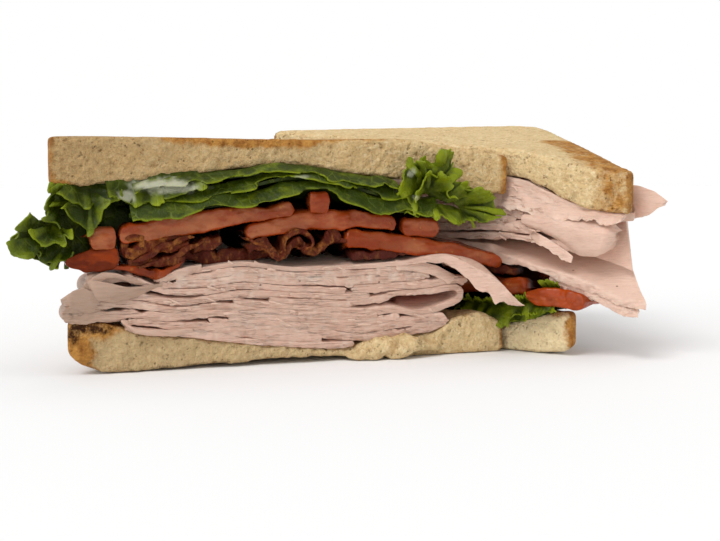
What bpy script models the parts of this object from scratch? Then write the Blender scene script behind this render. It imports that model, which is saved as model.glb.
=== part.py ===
"""Club sandwich on toasted white bread, cut on the diagonal; the two halves are pressed together.

The rear half is turned over, so its turkey is on top, and stands behind the front half's right
crust. Each half is modelled about the middle of its own cut face, the plane y = 0, with the crust
behind it, and is put in its place by an empty. Lengths are in millimetres until plate() makes a
mesh of them. The origin of the whole is at the middle of its box, on the surface it rests on.

Every filling lies between heights that are shared by the pieces above and below it. A height is
given along the cut face, is straight between stations PITCH apart, and runs straight back from
there to the crust, so that neighbours keep their clearance all over.
"""
import math

import bpy
from mathutils import Vector

MM = 0.001

# Driving dimensions
SLICE = 112.0            # side of the square slice of bread
CORNER = 12.0            # corner radius of the upper slices
LOW_CORNER = 17.0        # corner radius of the lower slices, which are pressed rounder
BREAD = 14.0             # thickness of a slice where nothing squeezes it
CRUST_ROUND = 2.6        # rounding of a crust edge
TURKEY = 1.5             # one slice of turkey
LEAF = 1.0               # a lettuce leaf
BACON = 2.2              # a rasher of bacon
GAP = 0.4                # clearance kept between neighbouring pieces
PITCH = 8.0              # distance between the stations of a height
HALF_DIAGONAL = SLICE / math.sqrt(2)

BOX_MIDDLE = (19.4, 31.6)    # middle of the whole sandwich, from the middle of the front cut face
REAR_AT = (52.2, 39.0)       # middle of the rear half's cut face, from there too
REAR_TURN = -57.0            # direction of that face, degrees
REAR_MIDDLE = 13.0           # middle of the rear half's upper slice, along its cut face
REAR_TILT = (-0.11, 0.145)   # slopes of that slice, along and away from the cut
REAR_LEVEL = 61.5            # height of its top at the cut face, REAR_MARK along it
REAR_MARK = 74.0


# ---------------------------------------------------------------- lines and heights

def smooth(t):
    t = min(max(t, 0.0), 1.0)
    return t * t * (3.0 - 2.0 * t)


def mix(a, b, t):
    return a + (b - a) * t


def curve(*pts):
    """Smooth line through (x, value) pairs that never overshoots them; level beyond its ends."""
    xs, vs = [p[0] for p in pts], [p[1] for p in pts]
    secant = [(vs[i + 1] - vs[i]) / (xs[i + 1] - xs[i]) for i in range(len(pts) - 1)]
    slope = [secant[0]]
    for a, b in zip(secant, secant[1:]):
        slope.append(2 * a * b / (a + b) if a * b > 0 else 0.0)
    slope.append(secant[-1])

    def value(x):
        if x <= xs[0]:
            return vs[0]
        if x >= xs[-1]:
            return vs[-1]
        i = max(k for k in range(len(xs) - 1) if xs[k] <= x)
        h = xs[i + 1] - xs[i]
        t = (x - xs[i]) / h
        return (vs[i] * (1 + 2 * t) * (1 - t) ** 2 + slope[i] * h * t * (1 - t) ** 2
                + vs[i + 1] * t * t * (3 - 2 * t) + slope[i + 1] * h * t * t * (t - 1))
    return value


def stationed(height):
    """The same height, straight between stations."""
    def z(x, y):
        k = math.floor(x / PITCH)
        return mix(height(k * PITCH, y), height((k + 1) * PITCH, y), x / PITCH - k)
    return z


def stations(a, b):
    """The ends a and b, in either order, and the stations between them."""
    low, high = min(a, b), max(a, b)
    inner = [k * PITCH for k in range(math.ceil((low + 2) / PITCH), math.floor((high - 2) / PITCH) + 1)]
    xs = [low] + inner + [high]
    return xs if a < b else xs[::-1]


def spread(a, b, n):
    return [mix(a, b, i / (n - 1)) for i in range(n)]


def crust(x, cut=0.0, corner=CORNER):
    """Depth of the crust behind the cut face, at x from the middle of the face."""
    a = abs(x)
    start = HALF_DIAGONAL - corner * math.sqrt(2)
    if a < corner / math.sqrt(2):
        return start + math.sqrt(corner ** 2 - a * a) - cut
    if a < HALF_DIAGONAL - corner / math.sqrt(2):
        return HALF_DIAGONAL - a - cut
    return math.sqrt(max(corner ** 2 - (a - start) ** 2, 0.0)) - cut


def behind(x):
    """How far back the straight lines of a height run at x."""
    return max(HALF_DIAGONAL - abs(x), 16.0)


def settle(front, inside, middle=0.0):
    """A height that follows front(x) at the cut face and reaches inside(x) at the crust."""
    return stationed(lambda x, y: mix(front(x), inside(x), y / behind(x - middle)))


def level(z):
    return lambda x: z


def stack(bands, low, high):
    """Heights of the boundaries between bands that share the space from low to high."""
    def boundary(k):
        def z(x, y):
            parts = [band(x) for band in bands]
            return mix(low(x, y), high(x, y), sum(parts[:k]) / sum(parts))
        return stationed(z)
    return [boundary(k) for k in range(len(bands) + 1)]


# ---------------------------------------------------------------- solids

def material(name, rgb, roughness):
    mat = bpy.data.materials.new(name)
    mat.use_nodes = True
    shader = mat.node_tree.nodes["Principled BSDF"]
    shader.inputs["Base Color"].default_value = (*rgb, 1.0)
    shader.inputs["Roughness"].default_value = roughness
    return mat


def plate(name, half, look, top, bottom, waist=()):
    """One closed solid from two grids of points; waist loops run round the rim between them."""
    nx, ny = len(top), len(top[0])
    rim = [(i, 0) for i in range(nx)] + [(nx - 1, j) for j in range(1, ny)]
    rim += [(i, ny - 1) for i in range(nx - 2, -1, -1)] + [(0, j) for j in range(ny - 2, 0, -1)]
    points = [p for column in top for p in column] + [p for column in bottom for p in column]
    loops = [[i * ny + j for i, j in rim]]
    for ring in waist:
        loops.append(list(range(len(points), len(points) + len(rim))))
        points += [ring[i][j] for i, j in rim]
    loops.append([nx * ny + i * ny + j for i, j in rim])
    quads = []
    for i in range(nx - 1):
        for j in range(ny - 1):
            quad = [i * ny + j, (i + 1) * ny + j, (i + 1) * ny + j + 1, i * ny + j + 1]
            if top[i + 1][j][0] < top[i][j][0]:
                quad = quad[1:] + quad[:1]
            quads += [quad, [nx * ny + k for k in (quad[0], quad[3], quad[2], quad[1])]]
    for upper, lower in zip(loops, loops[1:]):
        for k in range(len(rim)):
            n = (k + 1) % len(rim)
            quads.append([upper[k], lower[k], lower[n], upper[n]])
    faces = [f for a, b, c, d in quads for f in ((a, b, c), (a, c, d))]
    ends = [(min(p[k] for p in points), max(p[k] for p in points)) for k in range(3)]
    middle = Vector([round((a + b) / 2) for a, b in ends])
    mesh = bpy.data.meshes.new(name)
    mesh.from_pydata([(Vector(p) - middle) * MM for p in points], [], faces)
    mesh.materials.append(look)
    piece = bpy.data.objects.new(name, mesh)
    piece.location = middle * MM
    piece.parent = half
    bpy.context.scene.collection.objects.link(piece)
    return piece


def bread(name, half, look, middle, cut, corner, low, high):
    """A slice cut to a triangle: crumb face at y = 0, two crust sides behind it."""
    reach = HALF_DIAGONAL - corner * math.sqrt(2) + math.sqrt(corner ** 2 - cut ** 2)
    ends = [reach - 1.2, reach - 4.0, reach - 8.5]
    inner = [x - middle for x in stations(middle - reach + 10, middle + reach - 10)[1:-1]]
    xs = sorted([-reach, reach, -4.5, 4.5] + inner + ends + [-e for e in ends])
    grids = [[], [], [], []]
    for x in xs:
        back = max(crust(x, cut, corner), 3.5)
        round_off = CRUST_ROUND * smooth(back / 14) + 0.5
        columns = [[], [], [], []]
        for t in (0.0, 0.5, 1.0):
            edge = 0.5 if t == 0.0 and abs(x) < reach else round_off
            at_rim = t != 0.5 or abs(x) == reach
            inner_x = x - math.copysign(edge * 0.6, x) if abs(x) == reach else x
            inner_y = mix(edge * 0.4, back - round_off * 0.8, t)
            drop = edge * 0.9 if at_rim else 0.0
            inner_x, outer_x = inner_x + middle, x + middle
            columns[0].append((inner_x, inner_y, high(inner_x, inner_y)))
            columns[1].append((inner_x, inner_y, low(inner_x, inner_y)))
            columns[2].append((outer_x, back * t, high(outer_x, back * t) - drop))
            columns[3].append((outer_x, back * t, low(outer_x, back * t) + drop))
        for grid, column in zip(grids, columns):
            grid.append(column)
    return plate(name, half, look, grids[0], grids[1], grids[2:])


def layer(name, half, look, span, front, back, low, high, bulge=0.0):
    """A filling that lies flat, between the heights low(x, y) and high(x, y)."""
    xs, top, bottom = stations(*span), [], []
    for x in xs:
        ys = spread(front, back(x), 3)
        top.append([(x, y, high(x, y)) for y in ys])
        bottom.append([(x, y, low(x, y)) for y in ys])
    if not bulge:
        return plate(name, half, look, top, bottom)
    belly = []
    for i, (upper, lower) in enumerate(zip(top, bottom)):
        side = {0: -1, len(xs) - 1: 1}.get(i, 0)
        belly.append([(p[0] + side * bulge, p[1] + (j - 1) * bulge, (p[2] + q[2]) / 2)
                      for j, (p, q) in enumerate(zip(upper, lower))])
    return plate(name, half, look, top, bottom, (belly,))


def sheet(name, half, look, mid, thick, ss, ts):
    """A thin bent slice: mid(s, t) is its middle surface, thick(s) its thickness."""
    e = 1e-3
    top, bottom = [], []
    for s in ss:
        upper, lower = [], []
        for t in ts:
            p = Vector(mid(s, t))
            along = Vector(mid(min(s + e, ss[-1]), t)) - Vector(mid(max(s - e, ss[0]), t))
            across = Vector(mid(s, min(t + e, 1))) - Vector(mid(s, max(t - e, 0)))
            n = along.cross(across).normalized() * thick(s) / 2
            upper.append(tuple(p + n))
            lower.append(tuple(p - n))
        top.append(upper)
        bottom.append(lower)
    return plate(name, half, look, top, bottom)


def folded(name, half, look, low, high, ends, fold, front, back, turns=6):
    """A slice folded in two near x = fold; its legs lie in the space from low to high.

    Its lower leg has s below 0 and its upper leg s above 1, counted in millimetres; between
    them lies the fold, which is left a little thicker and rounder than the legs.
    """
    side = 1.0 if fold > ends[0] else -1.0

    near = fold - side * 4.0
    room = min(high(x, y) - low(x, y) for x in (near, fold) for y in (front, back(near)))
    bend = min(1.35 * TURKEY, room / 2 - GAP)

    def thick(s):
        return mix(TURKEY, bend, smooth(1 - max(-s, s - 1) / 14))

    def leg(s, x, y):
        clear = (GAP + thick(s)) / 2
        return low(x, y) + clear if s < 0.5 else high(x, y) - clear

    radius = min((leg(1, near, front) - leg(0, near, front)) / 2, 3.4)
    turn = fold - side * (radius + bend / 2)

    def mid(s, t):
        if s < 0 or s > 1:
            x = turn - side * (-s if s < 0 else s - 1)
            y = mix(front, back(x), t)
            return x, y, leg(s, x, y)
        a = math.pi * s
        x = turn + side * math.sin(a) * radius
        y = mix(front, back(x), t)
        return x, y, mix(leg(0, turn, y), leg(1, turn, y), (1 - math.cos(a)) / 2)

    lower = [-abs(x - turn) for x in stations(ends[0], turn)[:-1]]
    upper = [1 + abs(x - turn) for x in stations(turn, ends[1])[1:]]
    return sheet(name, half, look, mid, thick, lower + spread(0, 1, turns) + upper, (0.0, 0.5, 1.0))


def rasher(name, half, look, low, high, span, waves, front, back, thick=BACON, ns=12):
    """A wavy rasher that runs back from the cut face, in the space from low to high."""
    def mid(s, t):
        x = mix(span[0], span[1], s)
        y = mix(front, back(x), t)
        room = (high(x, y) - low(x, y) - thick) / 2 - GAP
        return x, y, (high(x, y) + low(x, y)) / 2 + room * math.sin(2 * math.pi * waves * s + 0.05 * y)
    return sheet(name, half, look, mid, lambda s: thick, spread(0, 1, ns), (0.0, 0.5, 1.0))


# ---------------------------------------------------------------- front half

FRONT_TOP = settle(
    curve((-74, 70.3), (-45, 70.4), (0, 70.1), (36, 70.6), (50, 68.8), (64, 67.0), (75, 65.4)),
    curve((-75, 70.8), (-40, 71.6), (0, 72.4), (40, 71.6), (75, 66.6)))
FRONT_UNDER = settle(
    curve((-74, 55.6), (-60, 56.2), (-47, 57.6), (-26, 60.0), (-12, 61.6), (0, 62.3), (17, 60.0),
          (30, 58.4), (44, 57.0), (55, 55.4), (64, 52.9), (75, 52.0)),
    level(58.6))
FRONT_TURKEY_TOP = settle(
    curve((-70, 23.0), (-60, 30.6), (-41, 30.2), (-28, 31.8), (-18, 33.4), (0, 30.8), (18, 31.2),
          (42, 33.0), (52, 32.2), (60, 29.5), (72, 25.0)),
    curve((-72, 25.0), (-56, 32.5), (-24, 39.0), (24, 39.4), (56, 34.0), (72, 27.5)))
FRONT_BREAD_TOP = settle(
    curve((-68, 15.0), (-57, 13.1), (-30, 8.8), (0, 5.0), (15, 3.6), (22, 4.2), (29, 6.2), (46, 6.6),
          (56, 11.8), (62, 14.6), (67, 13.6), (73, 9.5)),
    level(13.5))
FRONT_ARCH = curve((-50, 0.0), (-20, 1.2), (8, 1.8), (24, 0.0))     # lift of the underside at the cut
FRONT_CORNER = curve((-72, 8.5), (-64, 1.6), (-56, 0.0))            # and of its rounded left corner
FRONT_BOTTOM = stationed(lambda x, y: FRONT_CORNER(x) + FRONT_ARCH(x) * (1 - smooth(y / 9)))


def at_depth(front):
    """Carry a height given at the cut face back between the turkey and the top slice."""
    def z(x, y):
        low, high = FRONT_TURKEY_TOP(x, 0), FRONT_UNDER(x, 0)
        part = (front(x) - low) / (high - low)
        return mix(FRONT_TURKEY_TOP(x, y), FRONT_UNDER(x, y), part)
    return stationed(z)


def front_back(inset, least=4.0):
    return lambda x: max(crust(x - 1.0) - inset, least)


def front_breads(half, look):
    bread("front_top_bread", half, look, 0.5, 0.0, CORNER, FRONT_UNDER, FRONT_TOP)
    bread("front_bottom_bread", half, look, 2.2, 5.0, LOW_CORNER, FRONT_BOTTOM, FRONT_BREAD_TOP)


def front_turkey(half, look):
    bands = [
        curve((-64, 0.4), (-56, 4.4), (-40, 4.8), (0, 4.3), (16, 4.0), (24, 0.3)),
        curve((-40, 0.3), (-32, 1.6), (-24, 4.0), (16, 4.4), (32, 4.9), (48, 5.6), (56, 4.6), (64, 0.3)),
        curve((-72, 6.6), (-64, 7.6), (-56, 6.6), (-40, 5.2), (-20, 4.2), (32, 4.1), (40, 0.5)),
        curve((-24, 0.4), (-16, 3.7), (8, 4.3), (32, 5.4), (40, 8.2), (56, 8.4), (64, 6.0), (72, 0.5)),
        curve((-72, 2.0), (-64, 7.6), (-56, 7.8), (-40, 5.6), (0, 4.2), (16, 4.2), (24, 3.0), (32, 0.3)),
        curve((-50, 0.2), (8, 0.3), (20, 2.1), (56, 2.2), (64, 0.5)),
        curve((-56, 0.3), (-48, 1.6), (-40, 4.2), (-20, 4.6), (0, 4.2), (32, 4.8), (48, 4.6), (64, 0.5)),
        curve((-48, 0.3), (-40, 1.6), (-32, 2.6), (0, 2.5), (40, 2.8), (56, 3.2), (64, 3.2))]
    z = stack(bands, lambda x, y: FRONT_BREAD_TOP(x, y) + GAP / 2, FRONT_TURKEY_TOP)
    folds = ((1, (19.5, 9), -52.5, -0.6, 5.0), (2, (-27, -21), 52.5, 0.2, 3.0),
             (3, (35, 28), -71.0, -1.2, -2.0), (4, (-19, -8), 58.5, -1.4, 1.0),
             (5, (24, 17), -65.0, -0.4, -1.0), (7, (-42, -37), 46.0, 0.4, 4.0))
    for k, ends, fold, front, inset in folds:
        folded("front_turkey_%d" % k, half, look, z[k - 1], z[k], ends, fold, front, front_back(inset))
    layer("front_turkey_6", half, look, (20, 59), -0.9, front_back(3.0),
          lambda x, y: z[5](x, y) + GAP / 2, lambda x, y: z[6](x, y) - GAP / 2)
    front_tongue(half, look, z[7])


def front_tongue(half, look, low):
    """The uppermost slice, whose right end leaves the stack and hangs forward."""
    fall = curve((50, 30.7), (57, 28.0), (64, 24.0), (70, 20.2), (74.5, 17.6))
    edge = curve((-36, 0.6), (30, -0.8), (50, -3.0), (57, -7.5), (64, -11.0), (70, -13.0), (74.5, -13.2))
    inner = curve((44, crust(43) - 3), (52, 12.0), (58, 6.0), (64, 0.0), (70, -5.5), (74.5, -11.2))
    lean = curve((48, 0.0), (56, 0.5), (70, 0.45), (74.5, 0.15))
    free = -1.8

    def mid(x, t):
        y = mix(edge(x), inner(x) if x > 44 else crust(x - 1) - 3, t)
        flat = low(x, y) + (GAP + TURKEY) / 2 + 0.2
        return x, y, mix(flat, fall(x), smooth((x - 46) / 8)) - lean(x) * max(free - y, 0.0)
    sheet("front_turkey_8", half, look, mid,
          lambda x: TURKEY + 1.3 * smooth((x - 55) / 7) - 1.8 * smooth((x - 65) / 9.5),
          stations(-36, 48)[:-1] + spread(48, 74.5, 8), (0.0, 0.5, 1.0))


def front_tomatoes(half, look):
    slabs = (
        ("upper", (-53.8, 0), -1.0, 3.0,
         curve((-53, 38.7), (-42, 39.9), (-30, 41.8), (-18, 44.0), (-8, 46.4), (0, 47.6)),
         curve((-53, 42.6), (-49, 45.0), (-42, 46.2), (-30, 47.8), (-17, 48.8), (-4, 50.1))),
        ("middle", (-15, 34), -1.0, 8.0,
         curve((-15, 39.6), (-4, 42.2), (12, 42.4), (19, 43.0), (34, 40.9)),
         curve((-15, 43.0), (-8, 45.3), (2, 46.9), (10, 47.9), (19, 48.1), (26, 46.7), (34, 43.9))),
        ("lower", (17, 72), -1.2, 4.0,
         curve((17, 36.8), (36, 35.4), (50, 34.2), (61, 31.2), (72, 28.0)),
         curve((17, 41.2), (34, 40.2), (47, 38.4), (57, 35.8), (72, 31.2))),
        ("left", (-69.5, -54.2), -1.0, 1.0,
         curve((-69, 31.4), (-54, 31.6)),
         curve((-69, 35.0), (-62, 36.9), (-54, 36.4))))
    for name, span, front, inset, low, high in slabs:
        layer("front_tomato_" + name, half, look, span, front, front_back(inset, 5.0),
              at_depth(low), at_depth(high), 0.5)
    small = (("core", (5.0, 11.0), (48.8, 52.8), -2.0, 2.5),
             ("cube", (-62.4, -55.2), (38.3, 42.8), -1.6, 5.0),
             ("right", (36.2, 49.0), (40.6, 44.2), -1.8, 14.0))
    for name, span, heights, front, back in small:
        low, high = (at_depth(level(z)) for z in heights)
        layer("front_tomato_" + name, half, look, span, front, level(back), low, high, 0.4)


def front_bacon(half, look):
    strips = ((1, (-53, -33), (35.2, 36.7), (37.9, 40.2), 1.2, -1.6, 4.0, BACON),
              (2, (-32, -23), (34.6, 37.0), (37.7, 42.0), 0.5, -0.8, 9.0, BACON),
              (3, (-15, 15.5), (33.2, 32.6), (39.0, 41.4), 2.4, -1.4, 4.0, BACON),
              (4, (19, 38), (31.8, 33.2), (35.3, 34.6), 0.8, -0.6, 4.0, 1.5),
              (5, (-51.5, -34), (30.8, 31.6), (34.6, 36.0), 1.3, -1.2, 4.0, BACON))
    for k, (a, b), low, high, waves, front, inset, thick in strips:
        rasher("front_bacon_%d" % k, half, look, at_depth(curve((a, low[0]), (b, low[1]))),
               at_depth(curve((a, high[0]), (b, high[1]))), (a, b), waves, front, front_back(inset), thick,
               6 + round(5 * waves))


def leaf(name, half, look, span, edge, part, out, back, wave, ns=20):
    """A leaf whose front edge hangs a little below the level it has inside the sandwich."""
    def mid(s, t):
        x = mix(span[0], span[1], s)
        y = mix(out + 0.8 * math.sin(x / 7), back(x), t)
        inside = mix(FRONT_TURKEY_TOP(x, y), FRONT_UNDER(x, y), part)
        ripple = wave * math.sin(x / 5.5 + 7 * part) * (1 - 0.5 * smooth(t * 3))
        return x, y, mix(edge(x), inside, smooth((y - out) / 10)) + ripple
    sheet(name, half, look, mid, lambda s: LEAF, spread(0, 1, ns), (0.0, 0.12, 0.3, 1.0))


def frill(name, half, look, root, rim, lean, ruffle, waves, ns):
    """A ruffled leaf end that faces outwards; root and rim are (x, z) lines over 0 to 1."""
    def mid(s, t):
        y = lean(t) + ruffle * t * smooth(3 - 3 * s) * math.sin(2 * math.pi * waves * s + 2.2 * t)
        return mix(root[0](s), rim[0](s), t), y, mix(root[1](s), rim[1](s), t)
    sheet(name, half, look, mid, lambda s: LEAF, spread(0, 1, ns), (0.0, 0.33, 0.67, 1.0))


def front_lettuce(half, look):
    leaves = (
        ("lower", (-51, 48), 0.71, -2.2, -2.0, 0.35,
         curve((-51, 46.7), (-41, 47.8), (-29, 49.4), (-17, 50.4), (-8, 52.2), (1, 55.0),
               (8, 55.4), (13, 54.6), (19, 51.0), (29, 48.4), (36, 47.8), (48, 46.8))),
        ("middle", (-50, 40), 0.82, -1.6, 1.0, 0.3,
         curve((-50, 51.2), (-42, 51.8), (-30, 52.6), (-14, 55.6), (-4, 58.2), (6, 58.4), (19, 55.6),
               (31, 52.6), (40, 51.4))),
        ("upper", (-50, 34), 0.93, -1.0, -1.0, 0.25,
         curve((-50, 54.9), (-42, 55.8), (-29, 57.2), (-15, 59.2), (0, 60.7), (10, 59.7), (20, 57.9),
               (34, 55.6))))
    for name, span, part, out, inset, wave, edge in leaves:
        leaf("front_lettuce_" + name, half, look, span, edge, part, out, front_back(inset), wave)
    frill("front_lettuce_left", half, look,
          (curve((0, -52.6), (0.4, -54.5), (0.6, -60.0), (0.75, -67.6), (1, -72.6)),
           curve((0, 54.2), (0.4, 47.5), (0.6, 44.5), (0.75, 40.4), (1, 33.6))),
          (curve((0, -73.5), (0.25, -77), (0.45, -81), (0.68, -85.6), (0.82, -81.8), (1, -75.4)),
           curve((0, 54.8), (0.25, 50), (0.45, 45.6), (0.68, 39.4), (0.82, 35.6), (1, 32.4))),
          lambda t: 8.0 - 7.0 * t, 2.8, 3.2, 18)
    frill("front_lettuce_frill", half, look,
          (curve((0, 37.0), (0.4, 39.5), (0.7, 43.0), (1, 46)),
           curve((0, 55.5), (0.4, 52.5), (0.7, 49.5), (1, 46.8))),
          (curve((0, 35.5), (0.18, 43), (0.38, 53.5), (0.5, 56.2), (0.7, 61.2), (0.88, 70.9), (1, 60)),
           curve((0, 59.5), (0.18, 64), (0.38, 67), (0.5, 60.5), (0.7, 54.2), (0.88, 44.2), (1, 43.8))),
          lambda t: -3.4 - 2.6 * t, 1.7, 4.0, 24)


# ---------------------------------------------------------------- rear half

def tilted(front, drop):
    """A height of the rear upper slice: front(u) at the cut, its tilted plane less drop at the crust."""
    def z(u, v):
        far = behind(u - REAR_MIDDLE)
        plane = REAR_LEVEL + REAR_TILT[0] * (u - REAR_MARK) + REAR_TILT[1] * far - drop
        return mix(front(u), plane, v / far)
    return stationed(z)


REAR_TOP = tilted(curve((-61, 76.2), (0, 71.5), (30, 69.2), (50, 67.2), (62, 64.0), (77, 60.3),
                        (88, 59.9)), 0.0)
REAR_UNDER = tilted(curve((-61, 63.0), (-30, 61.2), (0, 60.3), (30, 60.0), (46, 58.8), (52, 57.4),
                          (62, 52.2), (70, 48.6), (76, 46.8), (88, 46.6)), BREAD)
REAR_SHELF = settle(
    curve((-60, 38.6), (0, 37.6), (23, 37.2), (41, 38.0), (56, 36.3), (68, 33.6), (80, 33.0)),
    curve((-60, 44.0), (13, 42.0), (50, 38.0), (80, 34.0)), REAR_MIDDLE)
REAR_BREAD_TOP = settle(
    curve((-74, 14.0), (-50, 12.6), (-10, 8.4), (25, 7.8), (40, 8.4), (49, 11.0), (60, 13.9), (68, 15.0)),
    level(BREAD))
REAR_CORNER = curve((56, 0.0), (64, 0.8), (72, 5.0))                # lift of the underside's right corner
REAR_BOTTOM = stationed(lambda u, v: REAR_CORNER(u))
REAR_HANG = curve((-30, 36.0), (10, 35.6), (23, 34.4), (41, 31.0), (58, 26.6), (66, 25.2), (78, 21.2),
                  (87, 17.6), (94, 17.2))


def rear_back(inset, least=4.0):
    return lambda u: max(crust(u - 9.0) - inset, least)


def rear_breads(half, look):
    bread("rear_top_bread", half, look, REAR_MIDDLE, 0.0, CORNER, REAR_UNDER, REAR_TOP)
    bread("rear_bottom_bread", half, look, -3.2, 4.5, LOW_CORNER, REAR_BOTTOM, REAR_BREAD_TOP)


def rear_turkey(half, look):
    bands = [curve((-32, 0.4), (-24, 4.2), (20, 4.8), (56, 5.2), (64, 9.0), (72, 11.0), (88, 10.0)),
             curve((-64, 4.2), (-56, 4.6), (40, 4.6), (48, 4.0), (56, 0.5)),
             curve((-40, 0.4), (-32, 4.2), (20, 4.6), (56, 4.6), (64, 0.5)),
             curve((-24, 0.3), (-16, 4.2), (20, 4.7), (64, 4.6), (72, 3.0), (80, 0.4)),
             curve((-58, 3.0), (50, 3.2), (62, 3.4), (72, 3.9), (88, 4.4))]
    z = stack(bands, REAR_SHELF, REAR_UNDER)
    folds = ((3, (-20, -24), 80.5, -0.8, -1.0), (4, (46, 43), -52.0, 0.6, 2.0),
             (5, (-30, -32), 55.0, 0.2, 4.0), (6, (-12, -15), 65.0, 0.4, 0.0))
    for k, ends, fold, front, inset in folds:
        folded("rear_turkey_%d" % k, half, look, z[k - 3], z[k - 2], ends, fold, front, rear_back(inset))

    def ear(u, t):
        front = curve((40, 0.8), (70, 1.6), (84, 5.0), (89, 10.0))(u)
        back = curve((60, crust(51) - 2), (89, 21.0))(u) if u > 60 else max(crust(u - 9) - 2, 6.0)
        v = mix(front, back, t)
        return u, v, (z[4](u, v) + z[5](u, v)) / 2 + 8.0 * smooth((u + v - 102) / 10)
    sheet("rear_turkey_7", half, look, ear, lambda u: TURKEY + smooth((u - 60) / 20),
          stations(-40, 88)[:-1] + [89.0], (0.0, 0.5, 1.0))


def rear_drape(half, look):
    """Two slices under the folded ones, whose front edges hang down to the right."""
    def drape(name, drop, span, out, depth, lag):
        def mid(s, t):
            v = mix(out(mix(*span, s)), depth, t)
            u = mix(span[0], span[1] - 0.85 * max(v, 0.0), s)
            low = REAR_HANG(u) + TURKEY / 2
            high = REAR_SHELF(u, v) - GAP - TURKEY / 2
            return u, v, mix(low, max(high, low), smooth((v - lag) / 18)) - drop
        length = span[1] - span[0]
        sheet(name, half, look, mid, lambda s: TURKEY + 0.3, spread(0, 1, 4 + round(length / 8)),
              (0.0, 0.25, 0.5, 1.0))
    drape("rear_turkey_2", 0.0, (-30, 94), curve((40, 0.6), (48, -1.0)), 34.0, 0.0)
    drape("rear_turkey_1", TURKEY + GAP + 0.9, (60, 91), level(-0.4), 14.0, 2.5)


def rear_fillings(half, tomato, bacon, lettuce):
    layer("rear_tomato_1", half, tomato, (-38, 51.5), -0.8, rear_back(8.0),
          settle(curve((-58, 20.0), (0, 19.0), (39, 19.9), (52, 20.4)), level(19.5)),
          settle(curve((-40, 24.4), (30, 24.8), (41, 24.0), (52, 22.6)), level(25.0)), 0.5)
    layer("rear_tomato_2", half, tomato, (53.5, 74), -4.0, level(11.0),
          settle(curve((53, 18.4), (57, 17.1), (64, 16.2), (74, 16.1)), level(17.0)),
          settle(curve((53, 21.2), (57, 20.8), (64, 21.4), (74, 18.8)), level(19.5)), 0.5)
    rasher("rear_bacon", half, bacon, settle(curve((-30, 25.4), (30, 25.4), (47, 24.6)), level(26.0)),
           settle(curve((-30, 32.4), (30, 31.6), (47, 29.0)), level(33.0)), (-30, 47), 4.0, -0.4,
           lambda u: min(crust(u - 9) - 8, 40.0), BACON, 22)
    layer("rear_lettuce_tip", half, lettuce, (58, 65), -4.6, level(-1.9),
          lambda u, v: 22.0 + 0.12 * (u - 58), lambda u, v: 23.9 + 0.12 * (u - 58), 0.4)

    out = curve((-62, 0.6), (41, 0.6), (47, -3.0), (58, -4.0), (62, -3.0))
    inside = settle(curve((-62, 16.6), (0, 13.5), (30, 12.8), (45, 14.8), (62, 15.6)), level(17.0))
    hang = curve((20, 0.0), (36, 2.6), (46, 4.4), (56, 3.0), (62, 0.8))

    def mid(u, t):
        v = mix(out(u), max(crust(u - 2) + 1.0, 6.0), t)
        droop = hang(u) * (1 - smooth((v - out(u)) / 4.5))
        return u, v, inside(u, v) - droop + 0.35 * math.sin(u / 4.0 + v / 9)
    sheet("rear_lettuce", half, lettuce, mid, lambda s: LEAF, spread(-62, 62, 26),
          (0.0, 0.06, 0.14, 0.4, 1.0))


def build():
    for ob in list(bpy.data.objects):
        bpy.data.objects.remove(ob, do_unlink=True)
    looks = {"bread": material("bread", (0.80, 0.60, 0.36), 0.85),
             "turkey": material("turkey", (0.78, 0.56, 0.46), 0.45),
             "lettuce": material("lettuce", (0.10, 0.25, 0.04), 0.45),
             "tomato": material("tomato", (0.62, 0.16, 0.07), 0.30),
             "bacon": material("bacon", (0.28, 0.07, 0.03), 0.35)}
    front = bpy.data.objects.new("front_half", None)
    front.location = (-BOX_MIDDLE[0] * MM, -BOX_MIDDLE[1] * MM, 0.0)
    rear = bpy.data.objects.new("rear_half", None)
    rear.location = ((REAR_AT[0] - BOX_MIDDLE[0]) * MM, (REAR_AT[1] - BOX_MIDDLE[1]) * MM, 0.0)
    rear.rotation_euler = (0.0, 0.0, math.radians(REAR_TURN))
    for half in (front, rear):
        bpy.context.scene.collection.objects.link(half)
    front_breads(front, looks["bread"])
    front_turkey(front, looks["turkey"])
    front_bacon(front, looks["bacon"])
    front_tomatoes(front, looks["tomato"])
    front_lettuce(front, looks["lettuce"])
    rear_breads(rear, looks["bread"])
    rear_turkey(rear, looks["turkey"])
    rear_drape(rear, looks["turkey"])
    rear_fillings(rear, looks["tomato"], looks["bacon"], looks["lettuce"])


build()
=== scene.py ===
"""Looks of the club sandwich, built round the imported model.

Lengths are in millimetres, in the frame of the half that a piece belongs to: its cut face is the
plane y = 0, its crust is behind it, and z is height above the floor. A piece whose name starts with
rear belongs to the rear half, and every other piece to the front half.
"""
import itertools
import math

import bmesh
import bpy
import numpy as np
from mathutils import Matrix, Vector
from mathutils.bvhtree import BVHTree


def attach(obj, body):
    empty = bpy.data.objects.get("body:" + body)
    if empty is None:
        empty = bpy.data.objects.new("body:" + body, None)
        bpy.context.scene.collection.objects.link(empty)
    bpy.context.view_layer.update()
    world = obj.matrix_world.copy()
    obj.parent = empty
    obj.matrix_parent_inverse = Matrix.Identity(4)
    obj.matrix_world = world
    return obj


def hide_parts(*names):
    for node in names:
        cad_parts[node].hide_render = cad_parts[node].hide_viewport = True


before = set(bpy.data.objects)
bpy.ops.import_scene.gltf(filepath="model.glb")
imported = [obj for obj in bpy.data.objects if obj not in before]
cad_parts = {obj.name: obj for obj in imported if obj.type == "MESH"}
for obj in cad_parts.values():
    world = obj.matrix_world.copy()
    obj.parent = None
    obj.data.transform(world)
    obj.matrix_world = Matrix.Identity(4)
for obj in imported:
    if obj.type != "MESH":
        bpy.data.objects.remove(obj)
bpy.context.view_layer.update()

MM = 0.001
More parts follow.
